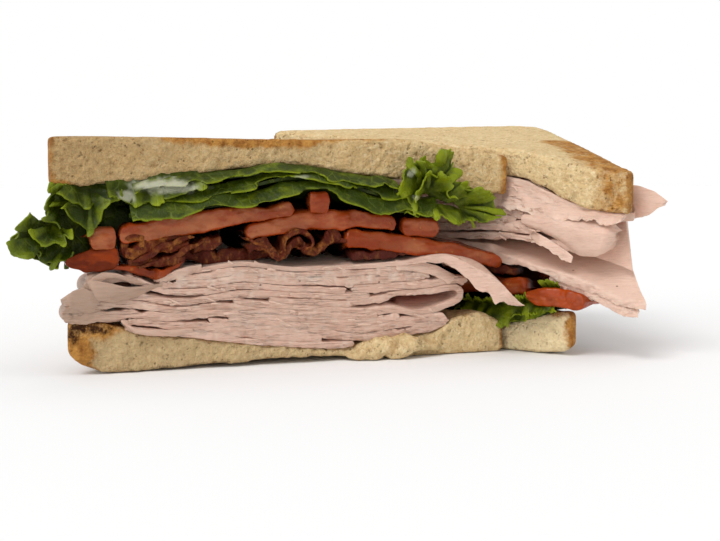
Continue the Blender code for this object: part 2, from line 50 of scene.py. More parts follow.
# Places of the two halves' cut faces, and the direction of the rear one, as in the part
PLACES = {"front": Matrix.Translation((-19.4 * MM, -31.6 * MM, 0.0)),
          "rear": Matrix.Translation((32.8 * MM, 7.4 * MM, 0.0))
          @ Matrix.Rotation(math.radians(-57.0), 4, "Z")}
HALF_DIAGONAL = 79.2                       # of the square that the fillings fill
MIDDLES = {"front": 1.0, "rear": 9.0}      # middle of each half's fillings along its cut face
CORNERS = {"top": 12.0, "bottom": 17.0}    # radius of the slices' corners
GRAINS = {"front": 0.75, "rear": 0.85}     # size of the faces of the bread's mesh
CUT_DEPTH = 4.5                            # how far in from the cut face the fillings have finer meshes
REACH = 6.5                                # how far a filling feels for its neighbours
FAR = 99.0                                 # stands for no neighbour
LEAF = 0.45                                # thickness of a leaf

FALLING = (1.0, 0.0)                       # for a span that goes down
SKY = (0.26, 0.70, 1.0, 0.30)      # brightness 1.0 up to the first height of the sky, 0.30 from the second
SUNS = (("key", (0.80, 0.50, -1.20), 30.0, 1.45), ("top", (-0.25, -0.1, -1.0), 70.0, 0.85),
        ("low", (0.90, 0.30, -0.30), 60.0, 0.55))
EYE = (-0.12292, -0.37703, 0.05872)        # the camera, in metres
YAW, PITCH, LENS, SENSOR = 0.3491, -0.0816, 57.56, 36.0
FLOOR_REACH, FLOOR_DROP = 6.0, 0.0002      # the floor lies just under the bread, in metres


def side(name):
    return "rear" if name.startswith("rear") else "front"


# ---------------------------------------------------------------- noise

def lattice(cell, seed):
    """A number from 0 to 1 for each whole-numbered cell."""
    mask = 0xFFFFFFFF
    h = (cell[..., 0] * 374761393 + cell[..., 1] * 668265263 + cell[..., 2] * 1274126177
         + seed * 974711) & mask
    h = ((h ^ (h >> 15)) * 2246822519) & mask
    h = ((h ^ (h >> 13)) * 3266489917) & mask
    return ((h ^ (h >> 16)) & 0xFFFFFF) / float(0x1000000)


def lumps(p, scale, seed=0):
    """Smooth noise from -1 to 1, in lumps of about scale (one length, or one for each axis)."""
    q = p / np.asarray(scale, float)
    base = np.floor(q).astype(np.int64)
    f = q - base
    f = f * f * (3 - 2 * f)
    total = 0.0
    for corner in itertools.product((0, 1), repeat=3):
        weight = np.ones(len(p))
        for k, c in enumerate(corner):
            weight = weight * (f[:, k] if c else 1 - f[:, k])
        total = total + weight * lattice(base + np.array(corner), seed)
    return total * 2 - 1


def rough(p, scale, seed=0, octaves=3):
    return sum(lumps(p, np.asarray(scale, float) / 2 ** k, seed + k) / 2 ** k for k in range(octaves)) / 1.6


def pores(p, scale, size, seed=0):
    """Depth, 0 to 1, of round pores of up to size cells, one in each cell."""
    q = p / scale
    base = np.floor(q).astype(np.int64)
    deep = np.zeros(len(p))
    for corner in itertools.product((-1, 0, 1), repeat=3):
        cell = base + np.array(corner)
        centre = cell + np.stack([lattice(cell, seed + k) for k in (1, 2, 3)], axis=1)
        radius = size * (0.15 + 0.85 * lattice(cell, seed + 4) ** 2)
        deep = np.maximum(deep, 1 - np.linalg.norm(q - centre, axis=1) / radius)
    return np.clip(deep, 0, 1)


def ramp(x, low, high):
    """0 up to low, 1 from high."""
    t = np.clip((x - low) / (high - low), 0, 1)
    return t * t * (3 - 2 * t)


def fade(x, full, gone):
    """1 up to full, 0 from gone."""
    return ramp(-x, -gone, -full)


def line(*pts):
    """Piecewise line through (x, value) pairs, rounded at its corners by sampling between them."""
    xs, vs = zip(*pts)

    def value(x):
        x = np.asarray(x, float)
        w = (xs[-1] - xs[0]) * 0.02
        return sum(np.interp(x + k * w, xs, vs) for k in (-2, -1, 0, 1, 2)) / 5
    return value


def outline(points, s):
    """x and z at shares s of the way along an outline of (share, x, z) points."""
    return [line(*((p[0], p[k]) for p in points))(s) for k in (1, 2)]


def grid(ns, nt):
    return np.meshgrid(np.linspace(0, 1, ns), np.linspace(0, 1, nt), indexing="ij")


# ---------------------------------------------------------------- meshes

def body_of_node(node):
    """A copy of a node's mesh in its half's frame, with quads where it had pairs of triangles."""
    bm = bmesh.new()
    bm.from_mesh(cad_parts[node].data)
    bmesh.ops.remove_doubles(bm, verts=bm.verts, dist=2e-6)
    matrix = Matrix.Scale(1 / MM, 4) @ PLACES[side(node)].inverted()
    bmesh.ops.transform(bm, matrix=matrix, verts=bm.verts)
    bmesh.ops.join_triangles(bm, faces=bm.faces, angle_face_threshold=math.radians(50),
                             angle_shape_threshold=math.radians(80))
    return bm


def evaluated(bm, modifiers=()):
    """The mesh that the modifiers, (type, settings) pairs, make of a bmesh."""
    mesh = bpy.data.meshes.new("work")
    bm.to_mesh(mesh)
    bm.free()
    ob = bpy.data.objects.new("work", mesh)
    bpy.context.scene.collection.objects.link(ob)
    for kind, settings in modifiers:
        mod = ob.modifiers.new(kind, kind)
        for key, value in settings.items():
            setattr(mod, key, value)
    depsgraph = bpy.context.evaluated_depsgraph_get()
    result = bpy.data.meshes.new_from_object(ob.evaluated_get(depsgraph))
    bpy.data.objects.remove(ob)
    bpy.data.meshes.remove(mesh)
    return result


def subdivided(bm, levels, sharp=55.0, crease=1.0):
    layer = bm.edges.layers.float.get("crease_edge") or bm.edges.layers.float.new("crease_edge")
    for e in bm.edges:
        if e.calc_face_angle(0.0) > math.radians(sharp):
            e[layer] = crease
    return evaluated(bm, [("SUBSURF", {"levels": levels, "render_levels": levels})])


def refined(mesh, length):
    """The same mesh with its long edges near the cut face divided once."""
    bm = bmesh.new()
    bm.from_mesh(mesh)
    bpy.data.meshes.remove(mesh)
    front = min(v.co.y for v in bm.verts)
    near = [e for e in bm.edges if max(v.co.y for v in e.verts) < front + CUT_DEPTH
            and abs(e.verts[0].co.x - e.verts[1].co.x) > length]
    bmesh.ops.subdivide_edges(bm, edges=near, cuts=1, use_grid_fill=True)
    bmesh.ops.triangulate(bm, faces=[f for f in bm.faces if len(f.verts) > 4])
    return evaluated(bm)


def coordinates(mesh):
    co = np.empty(len(mesh.vertices) * 3)
    mesh.vertices.foreach_get("co", co)
    return co.reshape(-1, 3)


def normals(mesh):
    n = np.empty(len(mesh.vertices) * 3)
    mesh.vertices.foreach_get("normal", n)
    return n.reshape(-1, 3)


def move(mesh, co):
    mesh.vertices.foreach_set("co", co.ravel())
    mesh.update()


def blurred(mesh, values, times):
    """Values at the vertices, averaged with those of the vertices beside them."""
    count = len(mesh.vertices)
    edges = np.empty(len(mesh.edges) * 2, dtype=np.int32)
    mesh.edges.foreach_get("vertices", edges)
    a, b = edges[::2], edges[1::2]
    weight = 1.0 + np.bincount(a, minlength=count) + np.bincount(b, minlength=count)
    for _ in range(times):
        values = (values + np.bincount(a, values[b], count) + np.bincount(b, values[a], count)) / weight
    return values


def paint(mesh, **values):
    for name, value in values.items():
        attribute = mesh.attributes.get(name) or mesh.attributes.new(name, "FLOAT", "POINT")
        attribute.data.foreach_set("value", np.broadcast_to(value, len(mesh.vertices)).astype(np.float32))


def piece(name, mesh, food, nodes=(), sharp=40.0):
    """A finished piece in its place; food is its look."""
    for key in ("crease_edge", "sharp_edge"):
        if mesh.attributes.get(key):
            mesh.attributes.remove(mesh.attributes[key])
    mesh.transform(PLACES[side(name)] @ Matrix.Scale(MM, 4))
    mesh.materials.clear()
    mesh.materials.append(LOOKS[food])
    mesh.polygons.foreach_set("use_smooth", [True] * len(mesh.polygons))
    mesh.set_sharp_from_angle(angle=math.radians(sharp))
    mesh.name = name
    ob = bpy.data.objects.new(name, mesh)
    bpy.context.scene.collection.objects.link(ob)
    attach(ob, "root")
    if nodes:
        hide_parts(*nodes)


def shell(mid, thick):
    """A thin closed mesh about a grid of points, mid[i, j]; thick is one number or one for each point."""
    ns, nt = mid.shape[:2]
    n = np.cross(np.gradient(mid, axis=0), np.gradient(mid, axis=1))
    n /= np.maximum(np.linalg.norm(n, axis=2, keepdims=True), 1e-9)
    half = np.broadcast_to(np.asarray(thick, float), (ns, nt))[..., None] / 2
    co = np.concatenate([(mid + n * half).reshape(-1, 3), (mid - n * half).reshape(-1, 3)])
    index = np.arange(ns * nt).reshape(ns, nt)
    a, b, c, d = (g.ravel() for g in (index[:-1, :-1], index[1:, :-1], index[1:, 1:], index[:-1, 1:]))
    faces = [np.stack([a, b, c, d], 1), np.stack([a, d, c, b], 1) + ns * nt]
    rim = np.concatenate([index[:, 0], index[-1, 1:], index[-2::-1, -1], index[0, -2:0:-1]])
    after = np.roll(rim, -1)
    faces.append(np.stack([rim, rim + ns * nt, after + ns * nt, after], 1))
    mesh = bpy.data.meshes.new("shell")
    mesh.from_pydata(co.tolist(), [], np.concatenate(faces).tolist())
    mesh.update()
    return mesh


# ---------------------------------------------------------------- materials

class Look:
    """A node material of textures in millimetres, whose colour is built up in layers."""

    def __init__(self, name, **settings):
        self.mat = bpy.data.materials.new(name)
        self.mat.use_nodes = True
        self.tree = self.mat.node_tree
        self.shader = self.tree.nodes["Principled BSDF"]
        self.set(self.shader, {key.replace("_", " "): value for key, value in settings.items()})
        coord = self.tree.nodes.new("ShaderNodeTexCoord")
        scale = self.tree.nodes.new("ShaderNodeVectorMath")
        scale.operation = "SCALE"
        self.set(scale, {0: coord.outputs["Object"], "Scale": 1 / MM})
        self.place = scale.outputs[0]
        self.now = None

    def set(self, node, inputs):
        for key, value in inputs.items():
            if isinstance(value, bpy.types.NodeSocket):
                self.tree.links.new(value, node.inputs[key])
            else:
                node.inputs[key].default_value = value

    def noise(self, size, detail=3.0, stretch=(1, 1, 1), rough=0.55):
        """Noise from 0 to 1 in lumps of about size millimetres."""
        m = self.tree.nodes.new("ShaderNodeMapping")
        self.set(m, {"Vector": self.place, "Scale": tuple(1 / (size * s) for s in stretch)})
        n = self.tree.nodes.new("ShaderNodeTexNoise")
        self.set(n, {"Vector": m.outputs[0], "Scale": 1.0, "Detail": detail, "Roughness": rough})
        return n.outputs["Fac"]

    def cells(self, size, feature="F1"):
        """Distance from the nearest of points scattered size millimetres apart."""
        m = self.tree.nodes.new("ShaderNodeMapping")
        self.set(m, {"Vector": self.place, "Scale": (1 / size,) * 3})
        n = self.tree.nodes.new("ShaderNodeTexVoronoi")
        n.feature = feature
        self.set(n, {"Vector": m.outputs[0], "Scale": 1.0, "Randomness": 1.0})
        return n.outputs["Distance"]

    def attribute(self, name):
        n = self.tree.nodes.new("ShaderNodeAttribute")
        n.attribute_name = name
        return n.outputs["Fac"]

    def span(self, value, low, high, to=(0.0, 1.0)):
        n = self.tree.nodes.new("ShaderNodeMapRange")
        self.set(n, {"Value": value, "From Min": low, "From Max": high, "To Min": to[0], "To Max": to[1]})
        return n.outputs[0]

    def patches(self, low, high, *noise, **more):
        """1 where a noise is above high, 0 where it is below low."""
        return self.span(self.noise(*noise, **more), low, high)

    def math(self, op, a, b):
        n = self.tree.nodes.new("ShaderNodeMath")
        n.operation = op
        self.set(n, {0: a, 1: b})
        return n.outputs[0]

    def times(self, a, b):
        return self.math("MULTIPLY", a, b)

    def plus(self, a, b):
        return self.math("ADD", a, b)

    def mix(self, share, a, b):
        """Colour from a to b; either is a socket or linear red, green and blue."""
        n = self.tree.nodes.new("ShaderNodeMix")
        n.data_type = "RGBA"
        a, b = (v if isinstance(v, bpy.types.NodeSocket) else (*v, 1.0) for v in (a, b))
        self.set(n, {0: share, 6: a, 7: b})
        return n.outputs[2]

    def base(self, share, a, b):
        self.now = self.mix(share, a, b)

    def over(self, share, colour, much=1.0):
        """Lays a colour over those so far; share is a socket or the name of what was painted."""
        share = self.attribute(share) if isinstance(share, str) else share
        self.now = self.mix(share if much == 1.0 else self.times(share, much), self.now, colour)

    def shine(self, level, without):
        """How much the surface reflects, less where without was painted."""
        left = self.span(self.attribute(without), 0.0, 1.0, FALLING)
        self.set(self.shader, {"Specular IOR Level": self.times(left, level)})

    def finish(self, height, depth):
        """The material, with bumps from a height of 0 to 1 that stands for depth millimetres."""
        n = self.tree.nodes.new("ShaderNodeBump")
        self.set(n, {"Height": height, "Strength": 1.0, "Distance": depth * MM})
        self.set(self.shader, {"Normal": n.outputs[0], "Base Color": self.now})
        return self.mat


def bread_look():
    look = Look("bread_look", Roughness=0.9, Subsurface_Weight=0.06, Subsurface_Scale=0.001,
                Specular_IOR_Level=0.12)
    look.base(look.patches(0.3, 0.7, 6.0), (0.66, 0.450, 0.205), (0.77, 0.565, 0.290))
    look.over(look.patches(0.52, 0.82, 0.9, 4, rough=0.75), (0.50, 0.305, 0.120))
    look.over(look.patches(0.50, 0.70, 1.6, rough=0.65), (0.86, 0.68, 0.40))
    # The pores are darkened in colour as well as sunk: painted shade in the pores.
    hole = look.times(look.span(look.cells(1.2), 0.08, 0.28, FALLING), look.patches(0.54, 0.64, 2.2, 2))
    look.over(hole, (0.30, 0.155, 0.050), 0.7)
    look.over("hole", (0.40, 0.235, 0.090), 0.85)
    # dim is painted shade and bright is painted light, laid over the crumb's colour.
    dim = look.mix(look.patches(0.35, 0.65, 1.4, 4, rough=0.7), (0.34, 0.205, 0.085), (0.50, 0.335, 0.155))
    look.over("dim", dim, 0.9)
    look.over("bright", (0.98, 0.85, 0.56), 0.55)
    look.over("sauce", (0.70, 0.62, 0.42))
    mottle = look.noise(2.6, 5, rough=0.7)
    skin = look.mix(look.patches(0.3, 0.7, 5.0, 4), (0.52, 0.28, 0.090), (0.25, 0.100, 0.028))
    toasted = look.mix(look.patches(0.36, 0.66, 3.0, 4, rough=0.6), (0.56, 0.275, 0.066),
                       (0.30, 0.115, 0.024))
    # Of the dark marks, the charred spots are real char; the long one along the foot of the front bottom
    # slice's cut face is painted shade.
    for name, spread, low, high, colour in (("crust", 0.45, 0.25, 0.90, skin),
                                            ("toast", 0.32, 0.20, 0.85, toasted),
                                            ("char_and_shade", 0.5, 0.25, 0.75, (0.050, 0.018, 0.007))):
        mark = look.plus(look.attribute(name), look.span(mottle, 0.3, 0.7, (-spread, spread)))
        look.over(look.span(mark, low, high), colour)
    grain = look.plus(look.noise(0.7, 3, rough=0.65), look.times(look.cells(1.2), 0.7))
    return look.finish(look.math("SUBTRACT", grain, look.times(hole, 1.2)), 0.85)


def turkey_look():
    look = Look("turkey_look", Roughness=0.5, Subsurface_Weight=0.18, Subsurface_Scale=0.002,
                Subsurface_Radius=(1.0, 0.45, 0.3))
    look.shine(0.35, "deep")
    look.base(look.noise(9.0, 4, (1.6, 1.6, 0.5)), (0.60, 0.375, 0.282), (0.74, 0.508, 0.404))
    fibre = look.noise(1.3, 4, (5.0, 3.0, 0.35), rough=0.7)
    look.over(look.span(fibre, 0.52, 0.74), (0.42, 0.235, 0.165))
    look.over(look.patches(0.60, 0.78, 0.8, 3, (4.0, 2.0, 0.5)), (0.76, 0.60, 0.50))
    look.over("torn", (0.78, 0.61, 0.50))
    # bright is painted light: the rear slices, the tongue, the margins and the shreds are lightened.
    look.over("bright", (0.76, 0.54, 0.43))
    look.over("shade", (0.30, 0.20, 0.135))
    # deep is painted shade between the layers.
    look.over("deep", (0.34, 0.105, 0.072))
    seam = look.noise(2.0, 3, (9.0, 4.0, 0.40), rough=0.6)
    seam = look.times(look.span(seam, 0.492, 0.500), look.span(seam, 0.500, 0.508, FALLING))
    seam = look.times(look.times(seam, look.patches(0.40, 0.55, 12.0, 2)), look.attribute("seams"))
    look.over(seam, (0.42, 0.215, 0.150), 0.6)
    look.over(look.span(look.cells(9.0), 0.035, 0.05, FALLING), (0.16, 0.07, 0.035), 0.8)
    grain = look.plus(look.noise(0.9, 4, (3.0, 2.0, 0.6)), look.times(fibre, 0.7))
    return look.finish(look.math("SUBTRACT", grain, seam), 0.28)


def tomato_look():
    look = Look("tomato_look", Subsurface_Weight=0.20, Subsurface_Scale=0.002,
                Subsurface_Radius=(1.0, 0.25, 0.1))
    look.shine(0.26, "matte")
    look.base(look.patches(0.34, 0.66, 9.0, 2, (1.6, 1.5, 0.8)), (0.22, 0.034, 0.006), (0.38, 0.086, 0.022))
    band = look.noise(5.0, 2, (2.4, 1.5, 0.8))
    look.over(look.span(band, 0.50, 0.74), (0.50, 0.190, 0.075))
    look.over(look.span(band, 0.48, 0.30), (0.18, 0.020, 0.003))
    look.over("red", (0.36, 0.048, 0.003))
    seed = look.times(look.span(look.cells(2.6), 0.16, 0.24, FALLING), look.patches(0.54, 0.60, 5.0, 2))
    look.over(seed, (0.56, 0.23, 0.03), 0.6)
    look.over("dim", (0.125, 0.017, 0.004))
    look.over("pale", (0.44, 0.165, 0.068))
    wet = look.span(look.noise(5.0, 3, (1.6, 1.0, 0.7)), 0.46, 0.60, (0.0, 0.9))
    look.over(wet, (0.26, 0.038, 0.005))
    # deep is painted shade between the layers.
    look.over("deep", (0.018, 0.004, 0.002))
    look.set(look.shader, {"Roughness": look.span(look.noise(3.0, 2), 0.42, 0.62, (0.08, 0.30))})
    return look.finish(look.plus(look.noise(2.6, 2, (1.8, 1.0, 0.8)), look.times(seed, 0.4)), 0.22)


def bacon_look():
    look = Look("bacon_look", Roughness=0.42, Subsurface_Weight=0.04, Subsurface_Scale=0.001)
    look.shine(0.15, "deep")
    meat = look.mix(look.noise(2.4, 4), (0.050, 0.006, 0.002), (0.17, 0.024, 0.006))
    fat = look.mix(look.noise(1.6), (0.22, 0.055, 0.006), (0.44, 0.17, 0.035))
    look.base(look.patches(0.54, 0.66, 3.0, 4, (0.5, 3.0, 1.0)), meat, fat)
    look.over(look.times(look.attribute("edge"), look.patches(0.36, 0.58, 2.2)), fat)
    look.over("dark", (0.065, 0.010, 0.007))
    look.over(look.patches(0.55, 0.7, 0.9), (0.06, 0.012, 0.004))
    # deep is painted shade between the layers.
    look.over("deep", (0.010, 0.003, 0.002))
    return look.finish(look.noise(0.8, 4, rough=0.7), 0.6)


def lettuce_look():
    look = Look("lettuce_look", Roughness=0.38, Subsurface_Weight=0.10, Subsurface_Scale=0.001,
                Subsurface_Radius=(0.5, 1.0, 0.1))
    look.shine(0.2, "shadow")
    green = look.mix(look.noise(8.0, 4), (0.016, 0.026, 0.001), (0.045, 0.068, 0.002))
    light = look.mix(look.noise(4.0), (0.095, 0.140, 0.002), (0.31, 0.36, 0.008))
    tone = look.plus(look.attribute("light"), look.span(look.noise(3.0, 4), 0.3, 0.7, (-0.22, 0.22)))
    look.base(look.span(tone, 0.15, 0.95), green, light)
    vein = look.span(look.cells(4.5, "DISTANCE_TO_EDGE"), 0.01, 0.07, (0.35, 0.0))
    vein = look.times(vein, look.patches(0.4, 0.6, 6.0, 2))
    look.over(vein, (0.15, 0.20, 0.02))
    look.over("shadow", (0.006, 0.009, 0.001))
    look.over("cream", (0.56, 0.56, 0.42), 0.8)
    return look.finish(look.plus(look.noise(1.3, 4), look.times(vein, -1.0)), 0.4)


# ---------------------------------------------------------------- stage

def stage():
    world = bpy.data.worlds.new("studio")
    bpy.context.scene.world = world
    world.use_nodes = True
    nodes, links = world.node_tree.nodes, world.node_tree.links
    coord = nodes.new("ShaderNodeTexCoord")
    axes = nodes.new("ShaderNodeSeparateXYZ")
    height = nodes.new("ShaderNodeMapRange")
    for key, value in zip(("From Min", "From Max", "To Min", "To Max"), SKY):
        height.inputs[key].default_value = value
    links.new(coord.outputs["Generated"], axes.inputs[0])
    links.new(axes.outputs["Z"], height.inputs["Value"])
    links.new(height.outputs[0], nodes["Background"].inputs["Strength"])
    nodes["Background"].inputs["Color"].default_value = (1.0, 1.0, 1.0, 1.0)
    mesh = bpy.data.meshes.new("floor")
    bm = bmesh.new()
    bmesh.ops.create_grid(bm, x_segments=1, y_segments=1, size=FLOOR_REACH)
    bm.to_mesh(mesh)
    bm.free()
    floor = bpy.data.objects.new("floor", mesh)
    floor.location.z = -FLOOR_DROP
    mat = bpy.data.materials.new("floor_look")
    mat.use_nodes = True
    shader = mat.node_tree.nodes["Principled BSDF"]
    shader.inputs["Base Color"].default_value = (0.88, 0.88, 0.88, 1.0)
    shader.inputs["Roughness"].default_value = 1.0
    shader.inputs["Specular IOR Level"].default_value = 0.0
    mesh.materials.append(mat)
    bpy.context.scene.collection.objects.link(floor)
    for name, towards, spread, strength in SUNS:
        data = bpy.data.lights.new(name, "SUN")
        data.angle, data.energy = math.radians(spread), strength
        lamp = bpy.data.objects.new(name, data)
        lamp.rotation_euler = Vector(towards).to_track_quat("-Z", "Y").to_euler()
        bpy.context.scene.collection.objects.link(lamp)


def camera():
    data = bpy.data.cameras.new("camera")
    data.lens, data.sensor_width = LENS, SENSOR
    data.clip_start, data.clip_end = 0.01, 20.0
    ob = bpy.data.objects.new("camera", data)
    ob.location = EYE
    aim = Vector((math.sin(YAW) * math.cos(PITCH), math.cos(YAW) * math.cos(PITCH), math.sin(PITCH)))
    ob.rotation_euler = aim.to_track_quat("-Z", "Y").to_euler()
    bpy.context.scene.collection.objects.link(ob)
    bpy.context.scene.camera = ob
    bpy.context.scene.view_settings.view_transform = "Standard"


# ---------------------------------------------------------------- bread

def bread(node, seed, charred_and_shaded=(), toasted=(), sauce=(), toast=0.25, torn=(), dim=None, lift=None,
          bright=0.0):
    """A slice of bread: porous torn crumb on the cut face, toasted outside, crust round the back."""
    bm = body_of_node(node)
    for *centre, r in torn:
        matrix = Matrix.Translation(centre) @ Matrix.Diagonal((1.25, 1.0, 0.8, 1.0))
        bmesh.ops.create_icosphere(bm, subdivisions=2, radius=r, matrix=matrix)
    mesh = evaluated(bm, [("REMESH", {"mode": "VOXEL", "voxel_size": GRAINS[side(node)]}),
                          ("SMOOTH", {"factor": 0.5, "iterations": 8})])
    co, n = coordinates(mesh), normals(mesh)
    x, y, z = co.T
    middle, reach = (x.min() + x.max()) / 2, (x.max() - x.min()) / 2
    tip = y.max() + CORNERS[node.split("_")[1]] * (math.sqrt(2) - 1)
    across = np.abs(x - middle)
    deep = np.minimum(np.minimum((tip - across - y) / math.sqrt(2), reach - across), y.max() - y)
    cut = ramp(-n[:, 1], 0.25, 0.75) * fade(y, 2.0, 6.0)
    flat = ramp(np.abs(n[:, 2]), 0.45, 0.8)
    crust = np.maximum(0.9 * fade(deep, 0.2, 2.8), np.clip(1 - cut - flat, 0, 1))
    hole = pores(co, 2.6, 0.42, seed) * (0.35 + 0.65 * cut) * (1 - 0.9 * crust)
    big = pores(co + 50, 6.0, 0.30, seed + 9) * cut * (1 - crust)
    edges = fade(y, 0.3, 3.0)
    torn_edge = edges * ramp(np.abs(n[:, 2]), 0.25, 0.6)
    out = 0.45 * rough(co, 3.0, seed) * (0.30 + 0.70 * np.maximum(cut, edges)) * (1 - 0.6 * crust)
    out += 0.70 * rough(co, 9.0, seed + 3, 2) * np.maximum(cut, edges)
    out += 0.45 * rough(co, 1.7, seed + 15, 2) * cut
    out += torn_edge * (0.55 * rough(co, 1.7, seed + 5, 2) - 0.5 * np.maximum(rough(co, 4.0, seed + 6, 2), 0))
    out -= 0.9 * hole + 1.2 * big
    fixed = ramp(z, 0.0, 1.2)                 # what rests on the floor stays there
    co = co + n * (out * np.maximum(fixed, cut))[:, None]
    x, y, z = co.T
    z[:] = np.maximum(z + (0 if lift is None else lift(x) * ramp(z, 5.0, 12.0)), 0.0)
    # dim and bright are painted shade and painted light.
    marks = {"char_and_shade": np.zeros(len(co)), "toast": flat * toast + crust * 0.12, "sauce": np.zeros(len(co)),
             "dim": 0 if dim is None else dim(x), "bright": bright}
    ragged = 0.22 * rough(co, 5.0, seed + 21)
    for key, spots in (("char_and_shade", charred_and_shaded), ("toast", toasted), ("sauce", sauce)):
        for cx, cy, cz, rx, ry, rz, amount in spots:
            d = np.sqrt(((x - cx) / rx) ** 2 + ((y - cy) / ry) ** 2 + ((z - cz) / rz) ** 2)
            marks[key] = np.maximum(marks[key], amount * fade(d - ragged, 0.4, 1.2))
    move(mesh, co)
    paint(mesh, crust=crust, hole=np.clip(hole * 1.4 + big, 0, 1), **marks)
    piece(node + "_crumb", mesh, "bread", (node,), sharp=180)


def breads():
    """The four slices. Spots are (x, y, z, three radii, amount), torn lumps of crumb (x, y, z, radius). The
    dim lines are painted shade, darker towards the left ends of the front slices; bright is painted light,
    strongest on the rear bottom slice under the hanging turkey.
    """
    bread("front_top_bread", 11, dim=line((-75, 1.0), (-55, 0.8), (0, 0.4), (50, 0.1)),
          toasted=((-12, 0, 71, 30, 8, 4.2, 1.7), (20, 3, 71.5, 24, 7, 2.0, 1.1),
                   (-8, 0, 58.0, 5, 5, 1.8, 0.8),
                   (20, 2, 58.0, 9, 5, 2, 0.6), (74.5, 3, 60, 3.0, 16, 24, 0.9),
                   (-71, 1, 56, 5, 6, 2.2, 1.0)),
          charred_and_shaded=((-71, 0, 55.5, 3.5, 4, 1.3, 0.6), (30, 0, 57.6, 7, 3, 1.4, 0.5)))
    torn = ((22, -1.4, 1.6, 2.6), (26, -2.6, 2.0, 3.0), (31.0, -1.8, 4.4, 3.4), (35.5, -3.0, 2.6, 3.4),
            (39.5, -2.4, 4.2, 3.2), (43.5, -1.4, 3.4, 2.8), (28.0, -1.2, 5.4, 2.2), (37.0, -1.2, 6.4, 2.4),
            (19.0, -0.8, 1.4, 1.8), (47.0, -0.6, 3.0, 2.4), (33.0, -2.6, 1.4, 2.4), (24.0, -0.8, 4.0, 2.0))
    # The long flat dark spot at the foot of its cut face (z 0.8) is painted shade where the slice meets the
    # floor; the others are char.
    bread("front_bottom_bread", 12, torn=torn, bright=0.25, dim=line((-75, 0.9), (0, 0.6), (30, 0.1)),
          lift=line((-72, 1.8), (-62, 1.8), (-54, 1.4), (-48, 0.0), (60, 0.0)),
          sauce=((-30, 0, 13.4, 9, 3, 2.0, 0.9),),
          charred_and_shaded=((-62.5, 2, 13.8, 7.5, 16, 2.7, 0.75), (-67.5, 0, 12.5, 2.4, 16, 4.5, 0.75),
                    (-20, 0, 0.8, 40, 3, 1.0, 0.45)),
          toasted=((-68.5, 2, 5, 8.5, 20, 13, 1.15), (-61, 2, 13.5, 11, 20, 4.5, 0.9),
                   (32, -3, 4, 3, 4, 3, 0.6)))
    band = [(x, y, 70, 10, 10, 40, 0.85) for x, y in ((46, 36), (53, 29), (60, 22), (67, 16), (74, 10),
                                                      (81, 5))]
    bread("rear_top_bread", 13, toast=0.12, bright=0.25,
          toasted=(*band, (40, 4, 72, 10, 3, 3, 0.6), (90, 4, 56, 4.0, 12, 14, 1.0),
                   (76, 0, 64, 9, 3, 3.5, 0.75), (58, 1, 69, 6, 3, 3, 0.6)))
    bread("rear_bottom_bread", 14, bright=0.9, toasted=((62, 3, 14.5, 12, 14, 3, 0.8),
                                                        (69, 3, 8, 4, 14, 9, 0.9)))


# ---------------------------------------------------------------- fillings and their neighbours

def neighbours(half):
    """A tree of the triangles of all of one half's nodes, and the node that each belongs to."""
    points, faces, owner = [], [], []
    for node in sorted(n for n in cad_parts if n.startswith(half)):
        bm = body_of_node(node)
        bmesh.ops.triangulate(bm, faces=bm.faces)
        start = len(points)
        bm.verts.index_update()
        points += [v.co.copy() for v in bm.verts]
        faces += [[start + v.index for v in f.verts] for f in bm.faces]
        owner += [node] * len(bm.faces)
        bm.free()
    return BVHTree.FromPolygons(points, faces), owner


def room(co, n, node):
    """Free distance in front of each point, and 1 where what ends it is another piece."""
    tree, owner = TREES[side(node)]
    free, other = np.full(len(co), FAR), np.zeros(len(co))
    for i, (p, d) in enumerate(zip(co.tolist(), n.tolist())):
        p, d = Vector(p), Vector(d)
        hit, _, k, distance = tree.ray_cast(p + d * 0.05, d, REACH)
        if hit is not None:
            free[i] = distance + 0.05
            other[i] = owner[k] != node
    return free, other


def behind(co):
    """Distance of each point behind the foremost one."""
    return co[:, 1] - co[:, 1].min()


def inward(co, node):
    """Distance of each point from the crust side of its half's fillings."""
    return (HALF_DIAGONAL - np.abs(co[:, 0] - MIDDLES[side(node)]) - co[:, 1]) / math.sqrt(2)


def upright(n):
    """The parts of the normals that lie across the cut face's depth, at length one or nought."""
    flat = n * [1, 0, 1]
    size = np.linalg.norm(flat, axis=1, keepdims=True)
    return flat / np.maximum(size, 1e-6) * ramp(size, 0.3, 0.6)


def pressed(co, n, node, start=3.0):
    """Inside the sandwich, behind what shows, a filling is pressed against its neighbours."""
    depth = ramp(behind(co), start, start + 5.0) * ramp(inward(co, node), 3.0, 8.0)
    which = depth > 0.01
    free = np.full(len(co), FAR)
    free[which], _ = room(co[which], upright(n)[which], node)
    return upright(n) * (np.where(free < REACH, free * 0.5, 0.0) * depth)[:, None]


def spread_out(mesh, co, n, node, share, most):
    """Near the cut face a filling widens into a share of the room above and below it."""
    near = fade(behind(co), 3.0, 8.0)
    which = (near > 0.01) & (np.abs(n[:, 2]) > 0.3)
    free = np.zeros(len(co))
    level = n * [0, 0, 1]
    free[which], _ = room(co[which], (level / np.maximum(np.abs(level[:, 2:]), 1e-6))[which], node)
    grown = np.where(free < REACH, np.minimum(free * share, most), 0.35 * most) * near * which
    return np.sign(n[:, 2:]) * [0, 0, 1] * blurred(mesh, grown, 4)[:, None]


def shaded(co, node, start=0.8, end=4.5):
    """Share of painted shade: 1 for what lies deep between the layers, 0 at the cut face and at the crust."""
    return ramp(behind(co), start, end) * ramp(inward(co, node), 10.0, 18.0)


